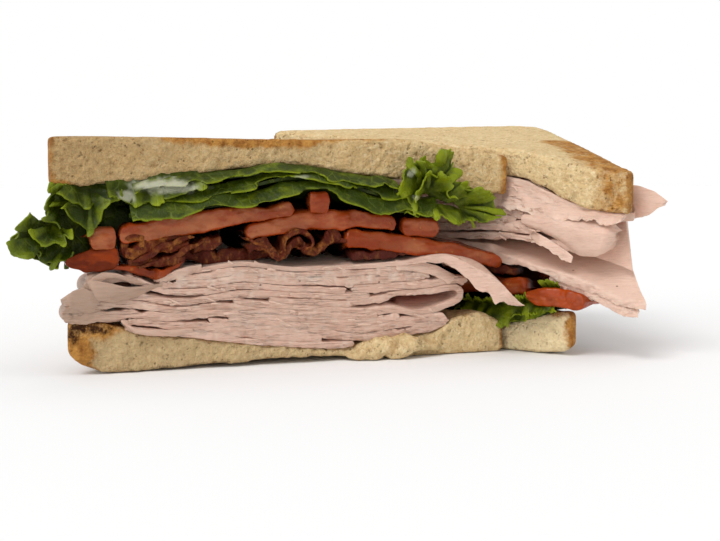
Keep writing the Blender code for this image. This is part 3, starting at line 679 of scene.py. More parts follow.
def tapered(co, keep, left, right, lean=0.5, power=1.0):
    """Heights of a piece with its left and right lengths drawn in to round ends; keep marks its cut edge."""
    start, end = co[keep, 0].min(), co[keep, 0].max()
    k = np.floor(co[:, 0] - co[:, 0].min()).astype(int)
    low, high = np.full(k.max() + 1, np.inf), np.full(k.max() + 1, -np.inf)
    np.minimum.at(low, k[keep], co[keep, 2])
    np.maximum.at(high, k[keep], co[keep, 2])
    good = np.isfinite(low)
    middle = np.interp(k, np.flatnonzero(good), (low + (high - low) * lean)[good])
    size = np.ones(len(co))
    for length, d in ((left, co[:, 0] - start), (right, end - co[:, 0])):
        if length:
            size *= 0.08 + 0.92 * np.sqrt(1 - (1 - np.clip(d / length, 0, 1) ** power) ** 2)
    return middle + (co[:, 2] - middle) * size


# ---------------------------------------------------------------- turkey

def slices(node, seed, rag=0.5, stack=True, shade=(), fringe=0.0, hollow=2.0, bright=0.0, trim=None,
           tongue=None):
    """A folded slice, whose ragged cut edge swells towards its neighbours down to slits."""
    mesh = refined(subdivided(body_of_node(node), 3), 0.35)
    co, n = coordinates(mesh), normals(mesh)
    x, y, z = co.T
    back = behind(co)
    edge = fade(back, 0.1, 2.4)                       # 1 at the cut edge, 0 a little way in
    face = edge * ramp(-n[:, 1], 0.3, 0.8)
    level = upright(n)
    near = back < 9.0
    free, other = np.full(len(co), FAR), np.zeros(len(co))
    free[near], other[near] = room(co[near], level[near], node)
    slit = -0.25 + 0.30 * ramp(lumps(co, (8.0, 30.0, 1.6), 3), 0.35, 0.80)
    slit += 0.34 * ramp(lumps(co, (4.0, 9.0, 0.9), seed + 2), 0.45, 1.0)
    slit -= (slit + 0.3) * ramp(np.abs(level[:, 0]), 0.6, 0.9)      # its ends close on what they meet
    limit = np.where(other > 0.5, 4.8, hollow(x) if callable(hollow) else hollow)
    fill = np.where(free < 20, np.clip(free / 2 - slit, -0.2, limit / 2), 0.0) * ramp(limit - free, -0.2, 0.6)
    fill = blurred(mesh, fill, 2) * fade(back, 2.0, 7.0)
    moved = co + level * fill[:, None] + n * (0.10 * rough(co, 2.4, seed + 1) * (1 - face))[:, None]
    jag = rough(co, (1.4, 3.0, 1.0), seed + 7, 3)
    tuft = np.maximum(rough(co, (4.0, 4.0, 1.5), seed + 4), 0)
    if stack:                                         # its cut edge is brought level with the others
        moved += pressed(co, n, node, 4.0)
        moved[:, 1] -= edge * (0.7 + y.min())
    moved[:, 1] += edge * (rag * (0.5 * jag + 0.7 * tuft) + 0.13 * ramp(np.abs(n[:, 2]), 0.3, 0.6))
    wave = 0.40 * lumps(co, (17.0, 30.0, 40.0), 5) + 0.22 * lumps(co, (7.0, 14.0, 9.0), 6)
    moved[:, 2] += wave * ramp(z, 0.0, 8.0) + edge * rag * 0.35 * rough(co, (1.0, 3.0, 2.0), seed + 11)
    if trim is not None:                              # its corner stays behind the bread
        over = np.maximum(x + y - trim, 0)
        moved -= over[:, None] * [0.42, 0.42, 0] + np.outer(ramp(over, 0, 10), [0, 0, -1.5])
    if tongue is not None:                            # thicker, raised and pointed where it hangs forward
        thicker, point, rise = tongue
        moved[:, 2] -= thicker(x) * ramp(-n[:, 2], -0.3, 0.5) * (1 + 0.5 * rough(co, (2.5, 4.0, 9.0), seed))
        moved[:, 2] = tapered(moved, back < 2.5, 0, point, 0.95, 1.8) + rise(x)
    move(mesh, moved)
    dark = np.zeros(len(co))
    for cx, cz, r, amount in shade:
        dark = np.maximum(dark, amount * fade(np.hypot(x - cx, z - cz) / r, 0.3, 1.3))
    torn = 0.5 * edge * ramp(jag, 0.0, 0.8) + fringe * edge * ramp(rough(co, 1.5, seed + 5), -0.2, 0.5)
    deep = stack * shaded(co, node, 2.5, 8.0) * fade(-n[:, 0], 0.2, 0.6) * ramp(x - x.min(), 4.0, 12.0)
    paint(mesh, deep=deep * 0.85 * (1 - dark), torn=np.clip(torn, 0, 1), shade=dark, bright=bright,
          seams=1.0 if stack else 0.25)
    piece(node + "_slice", mesh, "turkey", (node,))


def margin(name, seed, top, low, depth, ragged=1.0, thick=1.3, ns=200, shade=0.0):
    """The torn margin of a slice that droops over the layers below it, between two outlines."""
    s, t = grid(ns, 16)
    (x0, z0), (x1, z1) = outline(top, s), outline(low, s)
    flat = np.stack([x0 + (x1 - x0) * t, depth(s, t), z0 + (z1 - z0) * t], axis=2).reshape(-1, 3)
    flat[:, 1] += (0.9 * ragged * lumps(flat, (7.0, 9.0, 9.0), seed)
                   + 0.4 * ragged * lumps(flat, 2.6, seed + 1))
    jag = 0.9 * rough(flat * [1, 0, 0], 1.6, seed + 2, 3) + 1.1 * lumps(flat * [1, 0, 0], 4.5, seed)
    flat[:, 2] += ragged * t.ravel() ** 3 * jag
    mesh = shell(flat.reshape(*s.shape, 3), thick * (1 - 0.7 * t ** 2))
    fray = np.tile(t.ravel(), 2) ** 6 * ramp(rough(coordinates(mesh), 1.3, seed + 3), -0.4, 0.4)
    paint(mesh, deep=0.0, torn=ragged * fray, shade=shade, bright=0.5, seams=0.25)
    piece(name, mesh, "turkey")


def lip(start, turn, forward, roll, end):
    """Depth of a lip that comes forward out of its slice and rolls back along its lower edge."""
    return lambda s, t: start * fade(s, -0.05, turn) ** 2 - forward + roll * t ** 2 + end * ramp(s, 0.6, 1.0)


def shreds(name, seed, count, span, low, high):
    """Little torn strands of meat that stand out of the cut face."""
    meat = name.rsplit("_", 1)[0]
    tree, owner = TREES[side(name)]
    pick = np.random.default_rng(seed)
    bm = bmesh.new()
    made = 0
    for x, z, size, turn, wide in pick.random((count * 12, 5)).tolist():
        x = span[0] + (span[1] - span[0]) * x
        z = float(low(x)) + float(high(x) - low(x)) * z
        hit, normal, k, _ = tree.ray_cast(Vector((x, -30.0, z)), Vector((0.0, 1.0, 0.0)), 60.0)
        if hit is None or not owner[k].startswith(meat) or normal.y > -0.7 or hit.y > 1.5:
            continue
        long, angle = 1.2 + 2.8 * size * size, (turn - 0.5) * 0.7 - 0.15
        s, t = grid(9, 5)
        along, over = long * (s - 0.5), (0.25 + 0.45 * wide) * (t - 0.5) * np.sin(math.pi * (0.30 + 0.66 * s))
        mid = np.stack([hit.x + along * math.cos(angle) - over * math.sin(angle),
                        hit.y - 0.70 - 0.8 * s * s * size - 0.2 * np.sin(math.pi * t),
                        hit.z + along * math.sin(angle) + over * math.cos(angle)], axis=2)
        flake = shell(mid + 0.12 * lumps(mid.reshape(-1, 3), 0.9, seed).reshape(9, 5, 1), 0.32)
        bm.from_mesh(flake)
        bpy.data.meshes.remove(flake)
        made += 1
        if made == count:
            break
    mesh = evaluated(bm)
    paint(mesh, deep=0.0, torn=0.15, shade=0.0, bright=0.3, seams=0.0)
    piece(name, mesh, "turkey")


def turkey():
    grey = ((-66, 22, 12, 0.75), (-58, 24, 9, 0.45))
    hollows = {1: line((-55, 0.4), (-43, 0.4), (-38, 3.0)), 2: 3.0, 3: 5.0}
    for k in range(1, 8):
        slices("front_turkey_%d" % k, 20 + k, shade=grey, fringe=0.5 if k == 7 else 0.1,
               hollow=hollows.get(k, 2.4))
    thicker = line((-36, 0), (42, 0), (48, 1.6), (55, 2.0), (60, 3.4), (66, 5.6), (70, 4.0), (74.5, 1.0))
    rise = line((38, 0), (50, 2.7), (57, 4.0), (61, 4.4), (66, 5.2), (70, 3.8), (74.5, 0))
    slices("front_turkey_8", 28, stack=False, fringe=0.5, rag=0.8, bright=0.4, tongue=(thicker, 14.0, rise))
    # The rear slices are lightened with painted light (bright).
    for k in range(1, 8):
        hangs = k < 3
        slices("rear_turkey_%d" % k, 30 + k, stack=False, rag=0.9 if hangs else 0.8,
               fringe=0.6 if hangs else 0.4,
               hollow=9.0 if k == 3 else 3.0, bright=0.6, trim=93.0 if k == 7 else None)
    margin("front_turkey_5_lip", 59,
           ((0, -63.8, 26.2), (0.15, -61.5, 28.3), (0.3, -57.0, 27.2), (0.55, -52.2, 25.9),
            (0.8, -47.2, 25.9), (1, -41.0, 26.6)),
           ((0, -63.8, 25.0), (0.15, -61.5, 22.2), (0.3, -57.1, 21.6), (0.55, -52.2, 22.2),
            (0.8, -47.3, 23.6), (1, -41.0, 25.6)), lip(4.5, 0.22, 1.9, 1.2, 1.6), 0.25, 1.5, shade=0.6)
    margin("front_turkey_6_lip", 60,
           ((0, -63.8, 26.6), (0.2, -62.0, 29.2), (0.4, -58.9, 30.6), (0.6, -54.5, 30.0), (0.8, -50.0, 28.0),
            (1, -45.0, 26.2)),
           ((0, -63.8, 25.4), (0.2, -61.4, 27.0), (0.4, -58.0, 28.8), (0.6, -54.6, 28.6), (0.8, -50.2, 26.8),
            (1, -45.0, 25.4)), lip(4.5, 0.22, 1.4, 0.0, 1.6), 0.2, shade=0.5)
    margin("front_turkey_3_lip", 61,
           ((0, -70.4, 22.4), (0.25, -68.1, 25.0), (0.5, -64.8, 26.2), (0.75, -61.5, 24.4), (1, -58.0, 21.6)),
           ((0, -70.4, 21.2), (0.25, -67.4, 18.4), (0.5, -63.4, 16.9), (0.75, -60.3, 17.2), (1, -58.0, 19.6)),
           lip(4.0, 0.3, 0.9, 1.2, 1.5), 0.2, 1.5, shade=0.7)
    margin("front_turkey_1_lip", 62,
           ((0, -53.6, 16.2), (0.2, -50.4, 13.6), (0.45, -45.0, 12.6), (0.75, -38.4, 12.3), (1, -32.0, 12.6)),
           ((0, -53.0, 14.4), (0.2, -49.8, 11.7), (0.45, -44.5, 10.6), (0.75, -38.0, 10.3), (1, -32.0, 10.9)),
           lip(2.0, 0.2, 1.6, 0.8, 1.2), 0.3, shade=0.15)
    start = lip(2.0, 0.2, 0.5, 0.0, 1.2)
    margin("front_turkey_7_start", 63,
           ((0, -43.5, 27.8), (0.25, -40.0, 29.3), (0.5, -37.0, 30.6), (0.75, -33.0, 31.6), (1, -29.0, 32.0)),
           ((0, -43.5, 26.8), (0.25, -40.0, 26.9), (0.5, -37.0, 27.5), (0.75, -33.0, 28.6), (1, -29.0, 29.8)),
           lambda s, t: start(s, t) + 0.5 * t, 0.25, 1.0, ns=80, shade=0.1)
    margin("front_turkey_7_end", 58, ((0, 34, 31.6), (0.4, 44, 30.6), (0.7, 49, 29.4), (1, 55.4, 25.8)),
           ((0, 34, 28.8), (0.4, 44, 27.8), (0.7, 48.3, 26.0), (0.9, 53, 23.6), (1, 55.4, 25.0)),
           lambda s, t: 0.4 - 1.2 * t, 0.35, ns=110)
    margin("rear_turkey_7_margin", 51,
           ((0, 30, 58.6), (0.3, 46, 57.8), (0.42, 52, 56.6), (0.6, 62, 51.6), (0.75, 70, 48.2),
            (1, 86, 46.6)),
           ((0, 30, 51.6), (0.12, 36, 49.4), (0.35, 48, 47.8), (0.5, 57, 45.0), (0.6, 62, 43.4),
            (0.75, 69, 44.6), (1, 86, 44.0)), lambda s, t: 3.0 - 4.6 * t)
    margin("rear_turkey_7_ear", 52,
           ((0, 76, 56.2), (0.3, 84.5, 55.7), (0.6, 90.2, 53.8), (0.85, 93, 51.7), (1, 94.4, 50.2)),
           ((0, 76, 44.4), (0.4, 84.5, 45.0), (0.75, 89.6, 46.0), (0.9, 92, 48.4), (1, 94.4, 49.8)),
           lambda s, t: 13.0 - 3.0 * t, 0.3, ns=90)
    margin("rear_turkey_2_rise", 53, ((0, 70, 45.5), (0.5, 77, 45.2), (1, 82.2, 44.8)),
           ((0, 70, 33), (0.5, 78, 31), (1, 86.0, 28.5)), lambda s, t: 10.0 - 3.0 * t, 0.1, ns=60)
    margin("rear_turkey_6_lobe", 54,
           ((0, 50, 46.4), (0.3, 63, 46.4), (0.55, 72, 46.0), (0.8, 78.4, 45.2), (0.92, 80.8, 43.4),
            (1, 81.9, 40.8)),
           ((0, 50, 43.0), (0.25, 59.4, 39.7), (0.4, 63.6, 37.9), (0.52, 67.9, 35.2), (0.62, 70.4, 33.2),
            (0.8, 76.8, 33.0), (0.93, 80.6, 35.8), (1, 81.9, 39.6)),
           lambda s, t: 4.5 * (1 - ramp(t, 0, 0.4)) - 2.2 + 2.2 * ramp(t, 0.7, 1.1) ** 2
           + 4.5 * ramp(s, 0.80, 1.05) ** 2, 0.12, 1.6)
    margin("rear_turkey_5_strand", 55,
           ((0, 52, 40.8), (0.3, 57, 39.6), (0.5, 60.2, 38.2), (0.7, 63.6, 36.4), (0.9, 67.5, 34.2),
            (1, 69.4, 32.6)),
           ((0, 52, 38.6), (0.3, 56, 37.0), (0.5, 59.4, 35.2), (0.7, 62.6, 33.4), (0.9, 66.8, 31.4),
            (1, 69.2, 30.8)), lambda s, t: 0.4 - 2.6 * ramp(s, 0, 0.5) - 0.8 * t, 0.75, 1.0, ns=120)
    shreds("front_turkey_shreds", 56, 60, (-44, 48), line((-50, 14), (48, 10)),
           line((-50, 33), (0, 36), (48, 36)))
    shreds("rear_turkey_shreds", 57, 110, (20, 62), line((20, 34), (62, 30)),
           line((20, 58), (45, 56), (62, 46)))


# ---------------------------------------------------------------- tomato and bacon

def tomato(node, seed, red=0.0, dim=0.0, pale=0.0, rag=0.5, grow=(0.0, 0.0), ends=(2.0, 2.0), deep=1.0,
           streak=0.0):
    """A slice of tomato, redder along its edges; grow raises its top and lowers its base."""
    mesh = refined(subdivided(body_of_node(node), 3, 50.0, 0.93), 0.5)
    co, n = coordinates(mesh), normals(mesh)
    near = fade(behind(co), 0.5, 6.0)
    out = 0.32 * rough(co, (6.0, 5.0, 3.0), seed, 2) + rag * 0.2 * rough(co, 2.2, seed + 2, 2)
    moved = co + n * out[:, None] + pressed(co, n, node) + spread_out(mesh, co, n, node, 0.5, 1.8)
    moved[:, 2] += (0.6 * lumps(co, (8.0, 20.0, 30.0), seed + 5)
                    + 0.3 * near * lumps(co, (2.6, 9.0, 9.0), seed + 8))
    moved[:, 2] += near * (grow[0] * ramp(n[:, 2], 0.0, 0.6) - grow[1] * ramp(-n[:, 2], 0.0, 0.6))
    moved[:, 2] = tapered(moved, near > 0.4, *ends)
    moved[:, 1] += near * (0.9 * rough(co, (5.0, 9.0, 3.0), seed + 4)
                           + 0.4 * np.maximum(np.abs(n[:, 2]) - 0.3, 0))
    patch = rough(co, (7.0, 7.0, 3.0), seed + 6)
    rim = near * np.maximum(0.8 * ramp(-n[:, 2], 0.15, 0.6), 0.35 * ramp(n[:, 2], 0.3, 0.85))
    matte = np.maximum(shaded(co, node), np.maximum(0.85 * ramp(n[:, 2], 0.6, 0.9), 0.7 * dim))
    mottled = np.clip(0.45 + 1.8 * rough(co, (8.0, 9.0, 4.0), seed + 9, 2), 0, 1)
    face = streak * ramp(-n[:, 1], 0.80, 0.99) * mottled
    move(mesh, moved)
    paint(mesh, red=np.clip(red + 0.5 * patch * (red > 0) + rim, 0, 1),
          dim=np.clip(dim + 0.25 * patch, 0, 1) * (dim > 0),
          pale=np.maximum(np.clip(pale + 0.4 * patch, 0, 1) * (pale > 0), face),
          deep=deep * shaded(co, node), matte=matte)
    piece(node + "_flesh", mesh, "tomato", (node,))


def bacon(node, seed, edge=0.5, dark=0.0, waved=0.6, fat=None):
    """A crisp rasher: a waved, lumpy edge that is thicker where its fat is; fat adds to its thickness."""
    mesh = refined(subdivided(body_of_node(node), 3, 55.0, 0.4), 0.5)
    co, n = coordinates(mesh), normals(mesh)
    near = fade(behind(co), 0.3, 5.0)
    lump = 0.65 * rough(co, (3.2, 3.5, 2.4), seed) + 0.35 * rough(co, 1.3, seed + 9)
    moved = co + n * lump[:, None] + pressed(co, n, node) + spread_out(mesh, co, n, node, 0.4, 1.2)
    if fat is not None:
        uneven = 0.75 + 0.5 * rough(co, 3.0, seed + 4)
        moved[:, 2] += near * fat(co[:, 0]) * np.clip(n[:, 2] * 1.5, -1, 1) * uneven
    moved[:, 1] += near * 2.0 * waved * rough(co, (4.0, 4.0, 2.5), seed + 1)
    wave = 1.5 * lumps(co, (4.2, 6.0, 50.0), seed + 2) + 0.6 * lumps(co, (1.8, 3, 50.0), seed)
    moved[:, 2] += near * waved * wave
    move(mesh, moved)
    crisp = near * ramp(rough(co, (3.0, 2.0, 2.0), seed + 3), -0.15, 0.35)
    # deep is painted shade, between the layers and behind the cut edge.
    paint(mesh, edge=np.clip(edge * crisp, 0, 1), dark=dark,
          deep=np.maximum(shaded(co, node, 2.0, 6.0), 0.7 * (1 - near)))
    piece(node + "_strip", mesh, "bacon", (node,))


def curl(name, seed, path, wide=9.0, thick=2.2, start=-1.2, edge=1.0, food="bacon"):
    """The curled cut end of a rasher; path is its line along the cut face as (x, z) points."""
    s, t = grid(100, 16)
    share = np.linspace(0, 1, len(path))
    x, z = (np.interp(s[:, 0], share, [p[c] for p in path]) for c in (0, 1))
    for _ in range(14):
        x[1:-1], z[1:-1] = (np.convolve(v, (0.25, 0.5, 0.25), "valid") for v in (x, z))
    flat = np.stack([x[:, None] + 0 * t, start + wide * t, z[:, None] + 0 * t], axis=2).reshape(-1, 3)
    flat[:, 1] += 1.3 * lumps(flat * [1, 0.3, 1], 3.4, seed)
    flat[:, 0] += 0.5 * lumps(flat, 3.0, seed + 1)
    flat[:, 2] += 0.6 * lumps(flat, 3.0, seed + 2)
    size = thick * (1.0 + 0.45 * lumps(flat, 2.4, seed + 3)).reshape(s.shape)
    bm = bmesh.new()
    bm.from_mesh(shell(flat.reshape(*s.shape, 3), size * np.sqrt(np.sin(math.pi * np.clip(s, 0.02, 0.98)))))
    mesh = evaluated(bm, [("SMOOTH", {"factor": 0.5, "iterations": 3})])
    co = coordinates(mesh)
    near = fade(co[:, 1], start - 0.6, start + 3.5)
    fat = near * ramp(rough(co, 2.6, seed + 4), -0.1, 0.4)
    # dark grows behind the curl's front edge on bacon, and deep further back: both are painted shade.
    paint(mesh, edge=edge * fat, dark=0.5 * (1 - near * edge),
          deep=0.8 * ramp(co[:, 1], start + 3, start + 7),
          red=0.4, dim=np.clip(0.45 + 0.5 * rough(co, 4.0, seed + 5), 0, 1), pale=0.0, matte=0.3)
    piece(name, mesh, food)


def fillings():
    tomato("front_tomato_upper", 41, red=0.3, streak=0.5)
    tomato("front_tomato_middle", 42, red=0.3, streak=0.5)
    tomato("front_tomato_lower", 43, red=0.4, dim=0.25, streak=0.15)
    tomato("front_tomato_left", 44, dim=0.9, grow=(1.2, 0.0), ends=(14.0, 3.0))
    tomato("front_tomato_core", 45, red=0.3, grow=(0.0, 0.8), ends=(0.8, 0.8))
    tomato("front_tomato_right", 46, red=0.45, streak=0.3)
    tomato("front_tomato_cube", 47, pale=0.5, dim=0.2, grow=(0.0, 0.8), ends=(1.5, 1.0))
    tomato("rear_tomato_1", 48, red=0.3, dim=0.45)
    tomato("rear_tomato_2", 49, red=0.8, grow=(0.9, 0.0), rag=0.1, ends=(9.0, 3.0), deep=0.0)
    curl("front_tomato_left_end", 70,
         ((-57, 31.8), (-52, 31.2), (-48, 30.4), (-44.5, 29.6), (-41, 29.8), (-37.5, 31.2), (-34.5, 33.0)),
         thick=2.6, start=-1.3, food="tomato")
    bacon("front_bacon_1", 61, edge=0.8, fat=line((-53, 1.0), (-47, 1.6), (-42, 0.8), (-33, 0.0)))
    bacon("front_bacon_2", 62, edge=0.4, dark=0.3, fat=line((-32, 0.3), (-27, 1.2), (-23, 0.4)))
    bacon("front_bacon_3", 63, edge=0.7, dark=0.3, waved=1.4,
          fat=line((-15, 0.6), (-9, 1.8), (-4, 0.2), (1, 1.2), (6, 0.1), (11, 1.6), (15.5, 0.2)))
    curl("front_bacon_1_curl", 67,
         ((-43, 37.4), (-46.5, 35.6), (-50, 34.6), (-52.6, 36.4), (-52.2, 39.6), (-49.0, 40.8), (-45.0, 39.8),
          (-41.0, 39.6), (-37, 40.6), (-34, 40.6)))
    curl("front_bacon_1_fold", 71,
         ((-50.5, 33.2), (-47.8, 34.4), (-45, 35.8), (-42, 37.8), (-38.5, 38.2), (-35, 40.0), (-31.5, 40.4)),
         thick=2.0, start=-2.2, edge=0.8)
    curl("front_bacon_2_back", 73, ((-37, 35.8), (-31, 34.6), (-25, 33.6), (-19, 33.8), (-12, 34.2),
                                    (-6, 34.4)),
         thick=4.6, start=2.6, edge=0.1)
    curl("front_bacon_5_fold", 72,
         ((-49, 31.6), (-45, 32.2), (-41.5, 34.0), (-38, 34.2), (-35, 36.6), (-31.5, 37.4), (-28.5, 39.2)),
         thick=1.8, start=-1.8, edge=0.5)
    curl("front_bacon_3_curl", 68,
         ((-16, 40.0), (-12.5, 38.6), (-9.7, 37.0), (-7.0, 34.6), (-4.6, 33.8), (-3.0, 35.6), (-3.4, 39.0),
          (-1.6, 41.0), (2.4, 41.6), (5.6, 40.4), (6.4, 37.6), (4.0, 35.8), (0.8, 36.6)), thick=1.7,
         start=-2.0)
    curl("front_bacon_3_end", 69, ((5, 37.4), (8.4, 35.6), (11.4, 37.6), (14.6, 38.8), (18.6, 37.4),
                                   (22, 37.8)),
         thick=1.8, start=-1.0)
    bacon("front_bacon_4", 64, edge=0.1, dark=0.7, fat=line((19, 0.6), (30, 1.0), (38, 0.2)))
    bacon("front_bacon_5", 65, edge=0.3, dark=0.3, waved=0.2)
    bacon("rear_bacon", 66, dark=0.6)


# ---------------------------------------------------------------- lettuce

def edges_of(node, count, s):
    """Of a leaf at shares s of its length, x, then y and z of its front and back edges; and its length."""
    inverse = PLACES[side(node)].inverted()
    co = np.array([inverse @ v.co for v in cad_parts[node].data.vertices]) / MM
    xs = np.linspace(co[:, 0].min(), co[:, 0].max(), count)
    ends = []
    for x in xs:
        near = co[np.abs(co[:, 0] - x) < (xs[1] - xs[0]) / 2 * 1.05]
        order = np.argsort(near[:, 1])
        ends.append([*near[order[:4]].mean(axis=0)[1:], *near[order[-4:]].mean(axis=0)[1:]])
    length = xs[-1] - xs[0]
    x = xs[0] + length * s
    return x, *(np.interp(x, xs, v) for v in np.transpose(ends)), length


def ruffled(s, t, waves, height, fold, length, seed, fine=1.0):
    """Offsets of a ruffled margin, along it and out of the leaf; t is 1 at the margin, fold about 1."""
    grow = t ** 1.6
    phase = 2 * math.pi * waves * s + 1.5 * np.sin(2 * math.pi * s * 1.7 + seed) + 0.9 * t
    size = 0.68 + 0.32 * np.sin(2 * math.pi * s * 2.3 + seed * 3)
    step = fold * length / (4 * math.pi * waves)
    quick = 2 * math.pi * waves * 3.3 * s + 2.0 * np.sin(2 * math.pi * s * 4.1 + seed * 2) + 1.5 * t
    out = height * grow * size * (np.sin(phase) + 0.22 * fine * t ** 2 * np.sin(quick))
    along = -step * grow * size * (np.sin(2 * phase) + 0.25 * fine * t ** 2 * np.sin(2 * quick + 1))
    return along, out


def smears(co, spots, seed):
    """Share of cream on each point; spots are (x, z, half width, half height, amount)."""
    smear = np.zeros(len(co))
    for x, z, wide, high, amount in spots:
        d = np.hypot((co[:, 0] - x) / wide, (co[:, 2] - z) / high) + 0.55 * rough(co, 2.2, seed + 8)
        smear = np.maximum(smear, amount * fade(d, 0.35, 1.15))
    return smear


def hanging_leaf(node, seed, drop, waves, light, shadow=0.0, out=0.0, height=1.8, cream=()):
    """A leaf between the fillings whose front margin droops over them in a ruffled face."""
    s, t = grid(220, 22)                            # t is 0 at the margin here and 1 inside
    x, edge_y, edge_z, back_y, back_z, length = edges_of(node, 20, s)
    fall = ramp(t, 0.0, 0.55)
    inside = ramp(t, 0.45, 1.0)
    high = edge_z + drop(x)
    y = edge_y - 1.6 - out + 3.4 * fall + (back_y - edge_y) * inside * 0.9
    z = edge_z - 0.5 + (high - edge_z) * fall + (back_z - high) * inside
    hem = 1 - np.clip(t / 0.55, 0, 1)
    along, off = ruffled(s, hem, waves, height, 0.9, length, seed)
    flat = np.stack([x + along, y + 0.75 * off, z + 0.65 * off], axis=2).reshape(-1, 3)
    bend = 1.5 * lumps(flat, (13.0, 9.0, 60.0), seed) + 0.55 * lumps(flat, (4.0, 3.0, 60.0), seed + 1)
    flat[:, 2] += bend * (0.3 + 0.7 * hem.ravel())
    flat[:, 1] += 0.9 * lumps(flat, (5.0, 60.0, 3.5), seed + 2) * hem.ravel()
    mesh = shell(flat.reshape(*s.shape, 3), LEAF + 0.25 * t)
    both = np.tile(hem.ravel(), 2)
    co = coordinates(mesh)
    crest = ramp(rough(co, (9.0, 6.0, 5.0), seed + 3), -0.3, 0.6)
    paint(mesh, light=np.clip(light * (0.15 + 0.85 * crest) + 0.75 * both ** 9, 0, 1),
          shadow=np.clip(shadow + ramp(co[:, 1], 2.0, 7.0), 0, 1) * (1 - 0.7 * both ** 5),
          cream=smears(co, cream, seed))
    piece(node + "_leaf", mesh, "lettuce", (node,), sharp=80)


def rear_leaf():
    """The rear half's leaf, whose finely ruffled margin lies on the bread."""
    s, t = grid(250, 18)
    x, edge_y, edge_z, back_y, back_z, length = edges_of("rear_lettuce", 26, s)
    inside = ramp(t, 0.35, 1.0)
    fall = ramp(t, 0.0, 0.5)
    hem = 1 - np.clip(t / 0.6, 0, 1)
    along, off = ruffled(s, hem, 15.0, 1.5, 0.9, length, 81)
    y = edge_y - 0.8 + 2.2 * fall + (back_y - edge_y) * inside + off
    z = edge_z - 0.6 + 3.0 * fall * (1 - inside) + (back_z - edge_z) * inside + 0.8 * np.abs(off)
    flat = np.stack([x + along, y, z], axis=2).reshape(-1, 3)
    flat[:, 2] += 0.9 * lumps(flat, (3.0, 3.0, 60.0), 82) * (0.3 + hem.ravel())
    mesh = shell(flat.reshape(*s.shape, 3), 0.5)
    crest = ramp(rough(coordinates(mesh), 3.0, 83), -0.4, 0.5)
    paint(mesh, light=np.clip(0.4 * crest + 0.5 * np.tile(hem.ravel(), 2) ** 5, 0, 1), cream=0.0,
          shadow=0.5 * (1 - crest))
    piece("rear_lettuce_leaf", mesh, "lettuce", ("rear_lettuce",), sharp=80)


def frill(name, seed, root, rim, lean, waves, height, light, nodes=(), fold=0.9, bend=0.8, size=(200, 28),
          cream=(), shadow=0.0, lump=0.8, tooth=0.0, fine=1.0):
    """A ruffled leaf end between the outlines of its root and its rim, whose depths are lean.
    The margin turns forward by up to bend, so that its ruffles show in its outline."""
    s, t = grid(*size)
    base, out = (np.stack([x, 0 * s, z], axis=2) for x, z in (outline(root, s), outline(rim, s)))
    out = out - base
    rim_way = np.gradient(base + out, axis=0)
    step = np.linalg.norm(rim_way, axis=2, keepdims=True)
    rim_way = rim_way / np.maximum(step, 1e-6)
    slip, off = ruffled(s, t, waves, height, fold, float(step[:, -1].sum()), seed, fine)
    away = out / np.maximum(np.linalg.norm(out, axis=2, keepdims=True), 1e-6)
    turn = (bend * t ** 1.5)[..., None]
    facing = np.cos(turn) * np.array([0.0, -1.0, 0.0]) + np.sin(turn) * away
    jag = tooth * t ** 5 * np.sin(2 * math.pi * waves * 4.3 * s + 2.5 * np.sin(11 * s + seed))
    points = base + out * t[..., None] + facing * off[..., None]
    points = points + rim_way * slip[..., None] + away * jag[..., None]
    points[..., 1] += lean[0] + (lean[1] - lean[0]) * t
    flat, tt = points.reshape(-1, 3), t.ravel()
    flat[:, 1] += lump * (1.0 * lumps(flat, 6.0, seed + 1) + 0.5 * lumps(flat, 2.6, seed + 2))
    flat[:, 0] += lump * 0.7 * lumps(flat, 4.0, seed + 3) * tt
    flat[:, 2] += lump * 0.7 * lumps(flat, 4.0, seed + 4) * tt
    mesh = shell(points, LEAF)
    both = np.tile(tt, 2)
    crest = ramp(np.tile(off.ravel(), 2) / height, -0.5, 0.7)
    paint(mesh, light=np.clip(light * (0.15 + 0.85 * crest) + (0.2 + 0.45 * light) * both ** 10, 0, 1),
          cream=smears(coordinates(mesh), cream, seed),
          shadow=np.clip(shadow + 0.75 * (1 - crest) * (1 - both ** 3), 0, 1))
    piece(name, mesh, "lettuce", nodes, sharp=80)


def leaf_inside(node):
    """What of a leaf lies inside the sandwich, pressed between its neighbours."""
    mesh = subdivided(body_of_node(node), 2)
    co, n = coordinates(mesh), normals(mesh)
    rim = fade(inward(co, node), 2.0, 9.0)
    moved = co + pressed(co, n, node)
    moved[:, 2] += rim * 0.8 * lumps(co, (6.0, 6.0, 60.0), 91)
    moved[:, 1] += 1.5 * fade(behind(co), 0.5, 3.0)
    move(mesh, moved)
    paint(mesh, light=0.3 * rim, shadow=shaded(co, node, 0.0, 2.0), cream=0.0)
    piece(node + "_inside", mesh, "lettuce", (node,))


